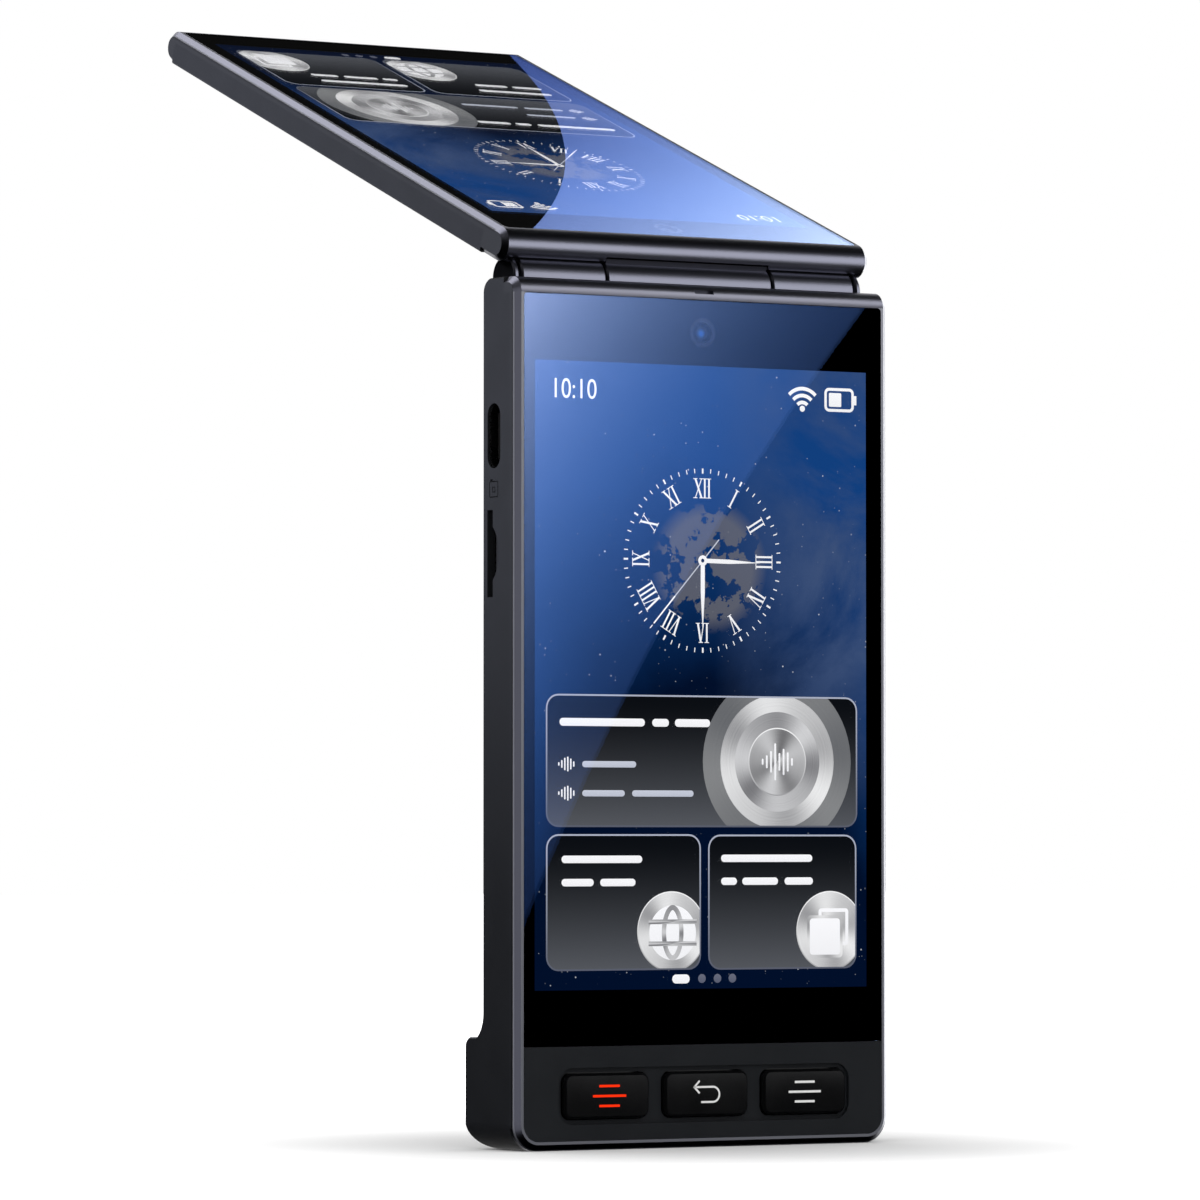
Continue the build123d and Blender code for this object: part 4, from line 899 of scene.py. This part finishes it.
class TRANSLATOR_OT_front_keys(Operator):
    """Finishes the key plate and the three key caps, and adds the marks on the caps"""
    bl_idname = "translator.front_keys"
    bl_label = "Front Keys"

    def execute(self, context):
        finish = context.scene.translator_finish
        dress(("key_plate",), grained("key_plate_plastic", finish.key_plate, 0.42, 8000.0, 0.08))
        dress(CAPS, grained("key_cap_plastic", finish.key_cap, 0.2, 9000.0, 0.02))
        # both inks are given a faint painted glow
        red = self.mark_ink(
            "red_mark_ink", finish.talk_mark, Roughness=0.6, Emission_Strength=0.5, Specular_IOR_Level=0.05
        )
        white = self.mark_ink("white_mark_ink", finish.plain_mark, Roughness=0.4, Emission_Strength=0.12)
        self.lines("left_talk_key", red, 0.35)
        self.lines("right_talk_key", white, -0.05)
        self.back_arrow("home_key", white)
        return {"FINISHED"}

    def mark_ink(self, name, shade, **sockets):
        """Ink with a faint painted glow, very slightly uneven."""
        material, tree, shader = new_material(name, **sockets)
        drift = noise(tree, object_place(tree), Scale=3000.0)
        tone = mix_colour(tree, drift, opaque(tuple(0.85 * part for part in shade)), opaque(shade))
        give(tree, shader, Base_Color=tone, Emission_Color=tone)
        return material

    def cap_place(self, node):
        """The matrix from millimetres about the middle of a cap's face to the part."""
        low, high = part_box(node)
        origin = Vector(((low.x + high.x) / 2, low.y - MARK_LIFT, (low.z + high.z) / 2))
        return axes_place(origin, RIGHT * MM, UP * MM, FRONT * LAYER)

    def lines(self, node, ink, shift):
        """The three level lines on a talk key: short, long, short."""
        art = FlatArt()
        for width, y in ((3.4, 1.4), (5.5, 0.0), (3.4, -1.4)):
            art.card(ink, shift - width / 2, shift + width / 2, y - 0.165, y + 0.165, 0.03)
        mark = art.finish(f"{node}_lines", self.cap_place(node))
        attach(mark, node)

    def back_arrow(self, node, ink):
        """A plain back arrow on the middle key: its shaft, its return and its head."""
        art = FlatArt()
        art.card(ink, -2.1, 1.0, 0.83, 1.11, 0.03)
        art.card(ink, -1.0, 1.0, -1.31, -1.03, 0.03)
        art.disc(ink, 1.0, -0.1, 1.21, hole=0.93, clips=(((1.0, 0), (-1, 0)),))
        for side in (-1, 1):
            art.card(ink, -0.14, 0.14, -0.1, 1.25, 0.03, 0, radians(45 * side - 90), (-2.15, 0.97))
        mark = art.finish(f"{node}_arrow", self.cap_place(node))
        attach(mark, node)


class TRANSLATOR_OT_glass(Operator):
    """Finishes both cover glasses and camera lenses, and adds the black border behind each glass"""
    bl_idname = "translator.glass"
    bl_label = "Glass and Borders"

    def execute(self, context):
        finish = context.scene.translator_finish
        picture = context.scene.translator_picture
        dress(("front_glass", "lid_glass"), clear_glass("cover_glass", (0.97, 0.98, 1.0), finish.glass_ior))
        dress(("camera_lens", "lid_camera_lens"), self.lens())
        ink = grained("border_ink", (0.0006, 0.0006, 0.0007), 0.7, 4000.0, 0.02, Specular_IOR_Level=0.0)
        # both cameras' rings are alike; the front one's height is read from its round lens
        radius = (lid_ring_high[0] - lid_ring_low[0]) / 2
        behind = hinge_place + lid_out * (lid_glass_low[2] - 2 * LAYER)
        self.border(
            "front_glass_border", ink, (glass_low.x, glass_high.x, glass_low.z, glass_high.z),
            front_window(picture), ((ring_low.x + ring_high.x) / 2, (lens_low.z + lens_high.z) / 2), radius,
            axes_place(Vector((0, glass_high.y + 2 * LAYER, 0)), RIGHT, UP, FRONT * LAYER),
            "body", glass_high.y - glass_low.y,
        )
        self.border(
            "lid_glass_border", ink,
            (lid_glass_low[0], lid_glass_high[0], lid_glass_low[1], lid_glass_high[1]),
            lid_window(picture), [(lid_ring_low[i] + lid_ring_high[i]) / 2 for i in (0, 1)], radius,
            axes_place(behind, RIGHT, lid_up, lid_out * LAYER),
            "lid", lid_glass_high[2] - lid_glass_low[2],
        )
        return {"FINISHED"}

    def lens(self):
        """Dark coated glass with a painted blue glint a little off its middle; its colour also glows faintly,
        most at the glint.
        """
        material, tree, shader = new_material(
            "camera_lens_glass", Roughness=0.12, Specular_IOR_Level=0.15, Emission_Strength=0.35
        )
        eye = Vector(((lens_low.x + lens_high.x) / 2, 0, (lens_low.z + lens_high.z) / 2))
        flat = vector_node(tree, "MULTIPLY", object_place(tree), (1, 0, 1), output="Vector")
        away = vector_node(tree, "DISTANCE", flat, eye + Vector((-0.15 * MM, 0, -0.1 * MM)))
        glint = ramp(tree, math_node(tree, "MULTIPLY", away, 1 / MM), (0.12, 1.0), (0.75, 0.0))
        # painted highlight: the glint is painted into the colour and given off as light
        shade = mix_colour(tree, glint, (0.001, 0.003, 0.010, 1), (0.04, 0.22, 0.80, 1))
        give(tree, shader, Base_Color=shade, Emission_Color=shade)
        return material

    def border(self, name, ink, glass, window, eye, radius, place, body, wall):
        """A sheet of ink behind a glass, open at the picture and the camera, with a wall round the glass."""
        art = FlatArt()
        x0, x1, y0, y1 = (side + way * EDGE_GAP for side, way in zip(glass, (-1, 1, -1, 1)))
        art.card(ink, x0, x1, y0, y1)
        for hole in (window, (eye[0] - radius, eye[0] + radius, eye[1] - radius, eye[1] + radius)):
            self.cut(art, hole)
        outline = [
            edge for edge in art.mesh.edges
            if edge.is_boundary and any(
                all(abs(vert.co[axis] - side) < LAYER for vert in edge.verts)
                for axis, side in ((0, x0), (0, x1), (1, y0), (1, y1))
            )
        ]
        before = set(art.mesh.faces)
        raised = bmesh.ops.extrude_edge_only(art.mesh, edges=outline)
        tops = [part for part in raised["geom"] if isinstance(part, bmesh.types.BMVert)]
        bmesh.ops.translate(art.mesh, vec=(0, 0, wall / LAYER), verts=tops)
        art.ink(art.added(before), ink, ((x0 + x1) / 2, (y0 + y1) / 2), ((x1 - x0) / 2, (y1 - y0) / 2))
        art.disc(ink, *eye, radius * EYE_RIM, -1, radius * EYE_HOLE)
        piece = art.finish(name, place)
        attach(piece, body)

    def cut(self, art, hole):
        """Cuts a rectangular hole along its four sides."""
        x0, x1, y0, y1 = hole
        for point, direction in (((x0, 0), (1, 0)), ((x1, 0), (1, 0)), ((0, y0), (0, 1)), ((0, y1), (0, 1))):
            everything = art.mesh.verts[:] + art.mesh.edges[:] + art.mesh.faces[:]
            bmesh.ops.bisect_plane(art.mesh, geom=everything, plane_co=(*point, 0), plane_no=(*direction, 0))
        middles = [(face, face.calc_center_median()) for face in art.mesh.faces]
        inside = [face for face, middle in middles if x0 < middle.x < x1 and y0 < middle.y < y1]
        bmesh.ops.delete(art.mesh, geom=inside, context="FACES")


class TRANSLATOR_OT_pictures(Operator):
    """Draws the lit picture of the front screen and, turned round, of the lid's screen"""
    bl_idname = "translator.pictures"
    bl_label = "Lit Pictures"

    def execute(self, context):
        picture = context.scene.translator_picture
        dark = grained("panel_edge", (0.004, 0.004, 0.005), 0.5, 5000.0, 0.02)
        dress(("display_panel", "lid_display_panel"), dark)
        window = front_window(picture)
        origin = Vector((window[0], panel_low.y - 3 * LAYER, window[2]))
        inks = picture_materials(picture, "front_screen", picture.glow)
        front = draw_picture("front_screen_picture", origin, (RIGHT, UP, FRONT), window, inks)
        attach(front, "body")

        window = lid_window(picture)
        origin = hinge_place + RIGHT * window[1] + lid_up * window[3]
        origin += lid_out * (lid_panel_high[2] + 3 * LAYER)
        inks = picture_materials(picture, "lid_screen", picture.lid_glow)
        lid = draw_picture("lid_screen_picture", origin, (-RIGHT, -lid_up, lid_out), window, inks)
        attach(lid, "lid")
        return {"FINISHED"}


class TRANSLATOR_OT_side_mark(Operator):
    """Adds the small card mark on the left wall between the port and the card slit"""
    bl_idname = "translator.side_mark"
    bl_label = "Card Mark"

    depth: length("Depth", "Distance of the mark's middle behind the front face", 6.1 * MM)
    height: length("Height", "Height of the mark's middle", 93.1 * MM)

    def execute(self, context):
        ink = grained("mark_ink", (0.003, 0.003, 0.0035), 0.5, 4000.0, 0.02)
        art = FlatArt()
        art.card(ink, -1.2, 1.2, -1.15, 1.15, 0.25, rim=0.13)
        art.card(ink, -0.95, -0.3, 1.2, 1.42, 0)
        art.card(ink, -0.4, 0.4, -0.45, 0.35, 0.12, rim=0.11)
        origin = Vector((housing_low.x - MARK_LIFT, glass_low.y + self.depth, self.height))
        mark = art.finish("card_mark", axes_place(origin, FRONT * MM, UP * MM, RIGHT * -LAYER))
        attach(mark, "body")
        return {"FINISHED"}


class TRANSLATOR_OT_inner_parts(Operator):
    """Finishes the boards, the battery, the plates, the screws and the other parts inside"""
    bl_idname = "translator.inner_parts"
    bl_label = "Inner Parts"

    def execute(self, context):
        for nodes, material in (
            (("shield_cans", "card_socket", "hinge_leaf_left", "hinge_leaf_right", "microphone",
              "usb_port_shell", "key_switches"), brushed("stainless_sheet", (0.52, 0.53, 0.55), 0.28, 0.2)),
            (("chassis_plate",), brushed("stamped_aluminium", (0.6, 0.61, 0.63), 0.35, 0.2)),
            (("chassis_screws", "hinge_screws", "board_screws", "lid_screws", "hinge_pin_left",
              "hinge_pin_right", "friction_washers", "pin_nuts", "body_magnets", "lid_magnets"),
             brushed("turned_steel", (0.42, 0.42, 0.44), 0.32, 0.25)),
            (("front_camera", "lid_camera", "usb_tongue", "board_chips", "side_switches", "speaker"),
             grained("black_moulding", (0.010, 0.010, 0.011), 0.4, 9000.0, 0.05)),
            (("display_backlight", "lid_backlight"),
             grained("white_tray", (0.7, 0.7, 0.69), 0.5, 5000.0, 0.05)),
            (("key_membrane", "speaker_gasket"),
             grained("silicone_rubber", (0.035, 0.035, 0.038), 0.7, 5000.0, 0.1)),
            (("battery",), grained("pouch_wrap", (0.08, 0.08, 0.09), 0.45, 1500.0, 0.3)),
            (("display_flex", "key_flex", "lid_ribbon", "battery_lead", "wifi_antenna"), self.ribbon()),
            (("main_board", "key_board", "lid_board"), self.board()),
        ):
            dress(nodes, material)
        return {"FINISHED"}

    def board(self):
        """Green solder mask over a web of copper tracks."""
        material, tree, shader = new_material("circuit_board", Roughness=0.35)
        web = new_node(
            tree, "ShaderNodeTexVoronoi", feature="DISTANCE_TO_EDGE", distance="MANHATTAN", Scale=420.0,
            Vector=object_place(tree),
        )
        track = ramp(tree, web.outputs["Distance"], (0.02, 1.0), (0.05, 0.0))
        bump = new_node(tree, "ShaderNodeBump", Strength=0.2, Distance=0.00002, Height=track)
        give(
            tree, shader, Base_Color=mix_colour(tree, track, (0.006, 0.07, 0.035, 1), (0.03, 0.19, 0.08, 1)),
            Normal=bump.outputs["Normal"],
        )
        return material

    def ribbon(self):
        """Amber film with darker conductors along its length."""
        material, tree, shader = new_material("amber_ribbon", Roughness=0.4)
        lines = new_node(
            tree, "ShaderNodeTexWave", bands_direction="X", Scale=600.0, Distortion=0.0,
            Vector=object_place(tree),
        ).outputs["Fac"]
        give(tree, shader, Base_Color=mix_colour(tree, lines, (0.3, 0.11, 0.015, 1), (0.55, 0.26, 0.05, 1)))
        return material


LAMP_AIM = Vector((0, 0, 0.08))
UNSEEN = ("camera", "diffuse", "shadow", "volume_scatter")
DRAPE_RADIUS, DRAPE_FOOT, DRAPE_TALL = 2.4, -1.2, 3.6
DRAPE_OPENING = (105, 185)  # degrees round from the front, by the right
# what each glass mirrors: the panel's sides and the flag's middle and radius, as they show on the glass, with
# their distances from it
FRONT_PANEL, FRONT_FLAG = ((-0.040, 0.045, 0.012, 0.150), 0.34), ((0.3037, -0.121, 0.367), 0.33)
LID_PANEL, LID_FLAG = ((-0.045, 0.045, -0.010, 0.125), 0.36), ((-0.2196, 0.1681, 0.2561), 0.35)
# the panels' glare: level by channel at its corner, fall by channel to the metre, corner, stretch and way
FRONT_GLARE = ((3.85, 5.15, 9.26), (56, 47, 38.5), (glass_low.x, glass_high.z), 0.82, (1, -1))
LID_GLARE = ((1.46, 1.85, 2.7), (26.5, 23.5, 15.5), (lid_glass_high[0], lid_glass_low[1]), 1.0, (-1, 1))
# each strip lamp: pieces, place it is mirrored in, degrees across and up, distance, size, level and colour
STRIPS = {
    "lid_nose_strip": (
        ("lid_frame",), (0, -0.0085, 0.1265), (33, 0), 0.25, (0.26, 0.17), 2.8, (0.95, 0.96, 1.0)),
    "barrel_strip": (BARREL, (0, -0.006, 0.122), (36, 14), 0.25, (0.26, 0.16), 2.7, (0.95, 0.96, 1.0)),
    "rail_strip": (
        ("front_bezel",), (0, -0.0065, 0.1215), (39, 31), 0.25, (0.26, 0.12), 2.7, (0.97, 0.97, 0.98)),
    "lip_strip": (("front_bezel",), (0, -0.007, 0.06), (32, 0), 0.28, (0.22, 0.22), 0.35, (0.9, 0.92, 1.0)),
    "chamfer_strip": (
        ("front_bezel",), (-0.031, -0.0065, 0.06), (-59, 0), 0.3, (0.3, 0.4), 0.66, (0.93, 0.94, 1.0)),
    "edge_strip": (
        ("lid_frame", "front_bezel", *BARREL), (-0.03, 0.02, 0.135), (-148, 50), 0.4, (0.35, 0.35), 2.3,
        (0.96, 0.96, 1.0)),
    "right_edge_strip": (
        ("front_bezel", "lid_frame"), (0.031, -0.0065, 0.07), (124, 4), 0.35, (0.2, 0.3), 2.2,
        (1.0, 1.0, 1.0)),
    "wall_strip": (
        (*SHELLS, "front_bezel", "lid_frame"), (-0.0315, 0.0, 0.12), (-149, 7), 0.2, (0.25, 0.15), 0.82,
        (0.77, 0.81, 1.0)),
    "cap_strip": (CAPS, (0, -0.0074, 0.0192), (32, -2), 0.05, (0.14, 0.015), 1.05, (0.97, 0.98, 1.0)),
}


def looked_at(tree):
    """1 for rays from the camera, through glass or off something shiny, and 0 for the others."""
    paths = tree.nodes.new("ShaderNodeLightPath").outputs
    seen = math_node(tree, "ADD", paths["Is Camera Ray"], paths["Is Transmission Ray"], clamp=True)
    return math_node(tree, "ADD", seen, paths["Is Glossy Ray"], clamp=True)


class TRANSLATOR_OT_stage(Operator):
    """Builds the floor, the lamps, the drapes and panels that the metal and glass mirror, and the camera"""
    bl_idname = "translator.stage"
    bl_label = "Stage"

    def execute(self, context):
        stage = context.scene.translator_stage
        self.camera(context, stage)
        self.floor(stage)
        self.room(context, stage)
        self.drapes()
        front = self.lamp("front_lamp", stage.front_lamp, (0.75, -1.1, 1.0), (1.3, 0.9))
        self.link_light(front, (*BARREL, "front_bezel", "lid_frame"), "EXCLUDE")
        self.lamp("left_lamp", stage.side_lamp, (-1.3, -0.1, 0.75), (0.6, 0.9))
        self.lamp("top_lamp", stage.top_lamp, (-0.35, 0.75, 1.15), (1.2, 0.9))
        self.strips()
        eye = Vector(stage.camera_place)
        front = (Vector((0, glass_low.y, 0)), RIGHT, UP, FRONT)
        self.mirror("front", front, eye, FRONT_PANEL, FRONT_GLARE, FRONT_FLAG, self.black_cloth())
        lid = (hinge_place + lid_out * lid_glass_high[2], RIGHT, lid_up, lid_out)
        self.mirror("lid", lid, eye, LID_PANEL, LID_GLARE, LID_FLAG, self.black_cloth("dim_cloth", 0.008))
        return {"FINISHED"}

    def camera(self, context, stage):
        """The camera that the picture is taken with."""
        camera = bpy.data.objects.new("camera", bpy.data.cameras.new("camera"))
        camera.data.lens = stage.lens
        camera.data.sensor_width = 36.0
        camera.data.clip_start = 0.05
        camera.data.clip_end = 50.0
        camera.location = stage.camera_place
        camera.rotation_euler = stage.camera_turn
        context.scene.collection.objects.link(camera)
        context.scene.camera = camera

    def staged(self, name, sheet, material, hidden_from):
        """Turns a sheet into a stage object that some kinds of ray don't see."""
        thing = scene_object(name, sheet, (material,))
        for ray in hidden_from:
            setattr(thing, f"visible_{ray}", False)
        return thing

    def floor(self, stage):
        """A pale floor whose painted glow rises from nothing near the object to white far away, so that near
        the object it keeps its soft shadow inside a painted darker disc.
        """
        material, tree, shader = new_material(
            "pale_floor", Base_Color=(0.86, 0.86, 0.86, 1), Roughness=0.9, Specular_IOR_Level=0.0,
            Emission_Color=(1, 1, 1, 1),
        )
        begin, white = stage.shadow_reach
        # painted shade: the glow grows with distance from the object's origin, leaving a darker disc round it
        spread = new_node(
            tree, "ShaderNodeMapRange", interpolation_type="SMOOTHSTEP", From_Min=begin, From_Max=white,
            Value=vector_node(tree, "LENGTH", object_place(tree)),
        )
        level = math_node(tree, "MULTIPLY", looked_at(tree), spread.outputs["Result"])
        give(tree, shader, Emission_Strength=level)
        sheet = bmesh.new()
        bmesh.ops.create_grid(sheet, x_segments=1, y_segments=1, size=stage.floor_size / 2)
        self.staged("floor", sheet, material, ("glossy", "transmission"))

    def room(self, context, stage):
        """Even light from all round; the backdrop is white to the eye, the metal and the glass."""
        world = bpy.data.worlds.new("room")
        world.use_nodes = True
        tree = world.node_tree
        level = math_node(tree, "MULTIPLY_ADD", looked_at(tree), 1 - stage.room_light, stage.room_light)
        give(tree, tree.nodes["Background"], Color=(1, 1, 1, 1), Strength=level)
        context.scene.world = world
        context.scene.view_settings.view_transform = "Standard"

    def drapes(self):
        """Black drapes round three sides, above and below, left open towards the backdrop."""
        sheet = bmesh.new()
        foot = Matrix.Translation((0, 0, DRAPE_FOOT))
        bmesh.ops.create_circle(sheet, cap_ends=True, segments=36, radius=DRAPE_RADIUS, matrix=foot)
        walls = bmesh.ops.extrude_face_region(sheet, geom=sheet.faces[:])
        tops = [part for part in walls["geom"] if isinstance(part, bmesh.types.BMVert)]
        bmesh.ops.translate(sheet, vec=(0, 0, DRAPE_TALL), verts=tops)
        bmesh.ops.holes_fill(sheet, edges=sheet.edges[:])
        opening = []
        for face in sheet.faces:
            middle = face.calc_center_median()
            round_about = degrees(atan2(middle.x, -middle.y)) % 360
            if abs(face.normal.z) < 0.5 and DRAPE_OPENING[0] < round_about < DRAPE_OPENING[1]:
                opening.append(face)
        bmesh.ops.delete(sheet, geom=opening, context="FACES")
        self.staged("black_drapes", sheet, self.black_cloth(), UNSEEN)

    def lamp(self, name, power, place, size, shade=(1.0, 1.0, 1.0), aim=LAMP_AIM):
        """A soft rectangular lamp, unseen by the camera, that faces its aim."""
        light = bpy.data.lights.new(name, "AREA")
        light.shape = "RECTANGLE"
        light.size, light.size_y = size
        light.energy = power
        light.color = shade
        lamp = bpy.data.objects.new(name, light)
        lamp.location = place
        lamp.rotation_euler = (aim - Vector(place)).to_track_quat("-Z", "Y").to_euler()
        lamp.visible_camera = False
        bpy.context.scene.collection.objects.link(lamp)
        return lamp

    def link_light(self, light, nodes, state="INCLUDE"):
        """Lights only these nodes, or all but these."""
        shown = bpy.data.collections.new(f"{light.name}_receivers")
        for node in nodes:
            shown.objects.link(frame["nodes"][node])
        light.light_linking.receiver_collection = shown
        for entry in shown.collection_objects:
            entry.light_linking.link_state = state

    def strips(self):
        """Strip lamps for the long soft highlights, each for one set of pieces."""
        for name, (nodes, spot, (across, rise), distance, size, level, shade) in STRIPS.items():
            turn, tip = radians(across), radians(rise)
            way = Vector((sin(turn) * cos(tip), -cos(turn) * cos(tip), sin(tip)))
            power = level * pi * size[0] * size[1]
            spot = Vector(spot)
            self.link_light(self.lamp(name, power, spot + way * distance, size, shade, spot), nodes)

    def mirror_panel(self, name, material, outline, axes, eye, distance, glass=None):
        """A panel that the glass mirrors to the camera: it is drawn where it shows on the glass."""
        origin, across, up, out = axes
        seen = eye - origin
        foot = Vector((seen.dot(across), seen.dot(up)))
        grow = (seen.dot(out) + distance) / seen.dot(out)
        sheet = bmesh.new()
        sheet.loops.layers.uv.new("UVMap")
        if len(outline) == 4:
            x0, x1, y0, y1 = outline
            middle = Matrix.Translation(((x0 + x1) / 2, (y0 + y1) / 2, 0))
            shape = middle @ Matrix.Diagonal((x1 - x0, y1 - y0, 1, 1))
            bmesh.ops.create_grid(sheet, x_segments=1, y_segments=1, size=0.5, matrix=shape, calc_uvs=True)
        else:
            x, y, radius = outline
            bmesh.ops.create_circle(
                sheet, cap_ends=True, segments=256, radius=radius, matrix=Matrix.Translation((x, y, 0))
            )
        spread = Matrix.Translation((*foot, 0)) @ Matrix.Diagonal((grow, grow, 1, 1))
        sheet.transform(spread @ Matrix.Translation((*-foot, 0)))
        sheet.transform(axes_place(origin + out * distance, across, up, out))
        panel = self.staged(name, sheet, material, UNSEEN)
        if glass:
            self.link_light(panel, (glass,))

    def lamp_cloth(self, name, outline, levels, falls, corner, stretch, way):
        """A lit cloth, brightest and palest at a corner of the glass, that fades away from it."""
        x0, x1, y0, y1 = outline
        size = (x1 - x0, stretch * (y1 - y0))
        start = ((corner[0] - x0) / (x1 - x0) * size[0], (corner[1] - y0) / (y1 - y0) * size[1])
        material = bpy.data.materials.new(name)
        material.use_nodes = True
        tree = material.node_tree
        tree.nodes.clear()
        away = new_node(
            tree, "ShaderNodeMapping", Location=(-start[0], -start[1], 0), Scale=(*size, 1),
            Vector=uv_place(tree),
        )
        distance = vector_node(tree, "DOT_PRODUCT", away.outputs["Vector"], (*way, 0))
        shade = tree.nodes.new("ShaderNodeCombineColor")
        for channel, (level, fall) in enumerate(zip(levels, falls)):
            fade = math_node(tree, "EXPONENT", math_node(tree, "MULTIPLY", distance, -fall))
            fill(tree, shade.inputs[channel], math_node(tree, "MULTIPLY", fade, level))
        shine = new_node(tree, "ShaderNodeEmission", Color=shade.outputs[0])
        new_node(tree, "ShaderNodeOutputMaterial", Surface=shine.outputs[0])
        return material

    def black_cloth(self, name="black_cloth", glow=0.0):
        """A cloth that gives back no light, or next to none."""
        return new_material(
            name, Base_Color=(0, 0, 0, 1), Roughness=1.0, Specular_IOR_Level=0.0, Emission_Color=(1, 1, 1, 1),
            Emission_Strength=glow,
        )[0]

    def mirror(self, side, axes, eye, panel, glare, flag, flag_cloth):
        """A lit panel with a round black flag in front of it, as one of the glasses shows them."""
        outline, away = panel
        cloth = self.lamp_cloth(f"{side}_panel_cloth", outline, *glare)
        self.mirror_panel(f"{side}_lit_panel", cloth, outline, axes, eye, away, f"{side}_glass")
        outline, away = flag
        self.mirror_panel(f"{side}_black_flag", flag_cloth, outline, axes, eye, away)


class TRANSLATOR_PT_panel(Panel):
    """Lists the settings and the steps"""
    bl_idname = "TRANSLATOR_PT_panel"
    bl_label = "Translator"
    bl_space_type = "VIEW_3D"
    bl_region_type = "UI"
    bl_category = "Translator"

    def draw(self, context):
        scene = context.scene
        for group in (scene.translator_picture, scene.translator_finish, scene.translator_stage):
            box = self.layout.box()
            for name in group.__annotations__:
                box.prop(group, name)
        for step in STEPS:
            self.layout.operator(step.bl_idname)


STEPS = (
    TRANSLATOR_OT_stage,
    TRANSLATOR_OT_metal_bands,
    TRANSLATOR_OT_housings,
    TRANSLATOR_OT_front_keys,
    TRANSLATOR_OT_glass,
    TRANSLATOR_OT_pictures,
    TRANSLATOR_OT_side_mark,
    TRANSLATOR_OT_inner_parts,
)
CLASSES = (TRANSLATOR_PG_picture, TRANSLATOR_PG_finish, TRANSLATOR_PG_stage, *STEPS, TRANSLATOR_PT_panel)


def register():
    for cls in CLASSES:
        bpy.utils.register_class(cls)
    bpy.types.Scene.translator_picture = PointerProperty(type=TRANSLATOR_PG_picture)
    bpy.types.Scene.translator_finish = PointerProperty(type=TRANSLATOR_PG_finish)
    bpy.types.Scene.translator_stage = PointerProperty(type=TRANSLATOR_PG_stage)


def unregister():
    del bpy.types.Scene.translator_stage
    del bpy.types.Scene.translator_finish
    del bpy.types.Scene.translator_picture
    for cls in reversed(CLASSES):
        bpy.utils.unregister_class(cls)


def main():
    register()
    for step in STEPS:
        group, name = step.bl_idname.split(".")
        getattr(getattr(bpy.ops, group), name)()


if __name__ == "__main__":
    main()
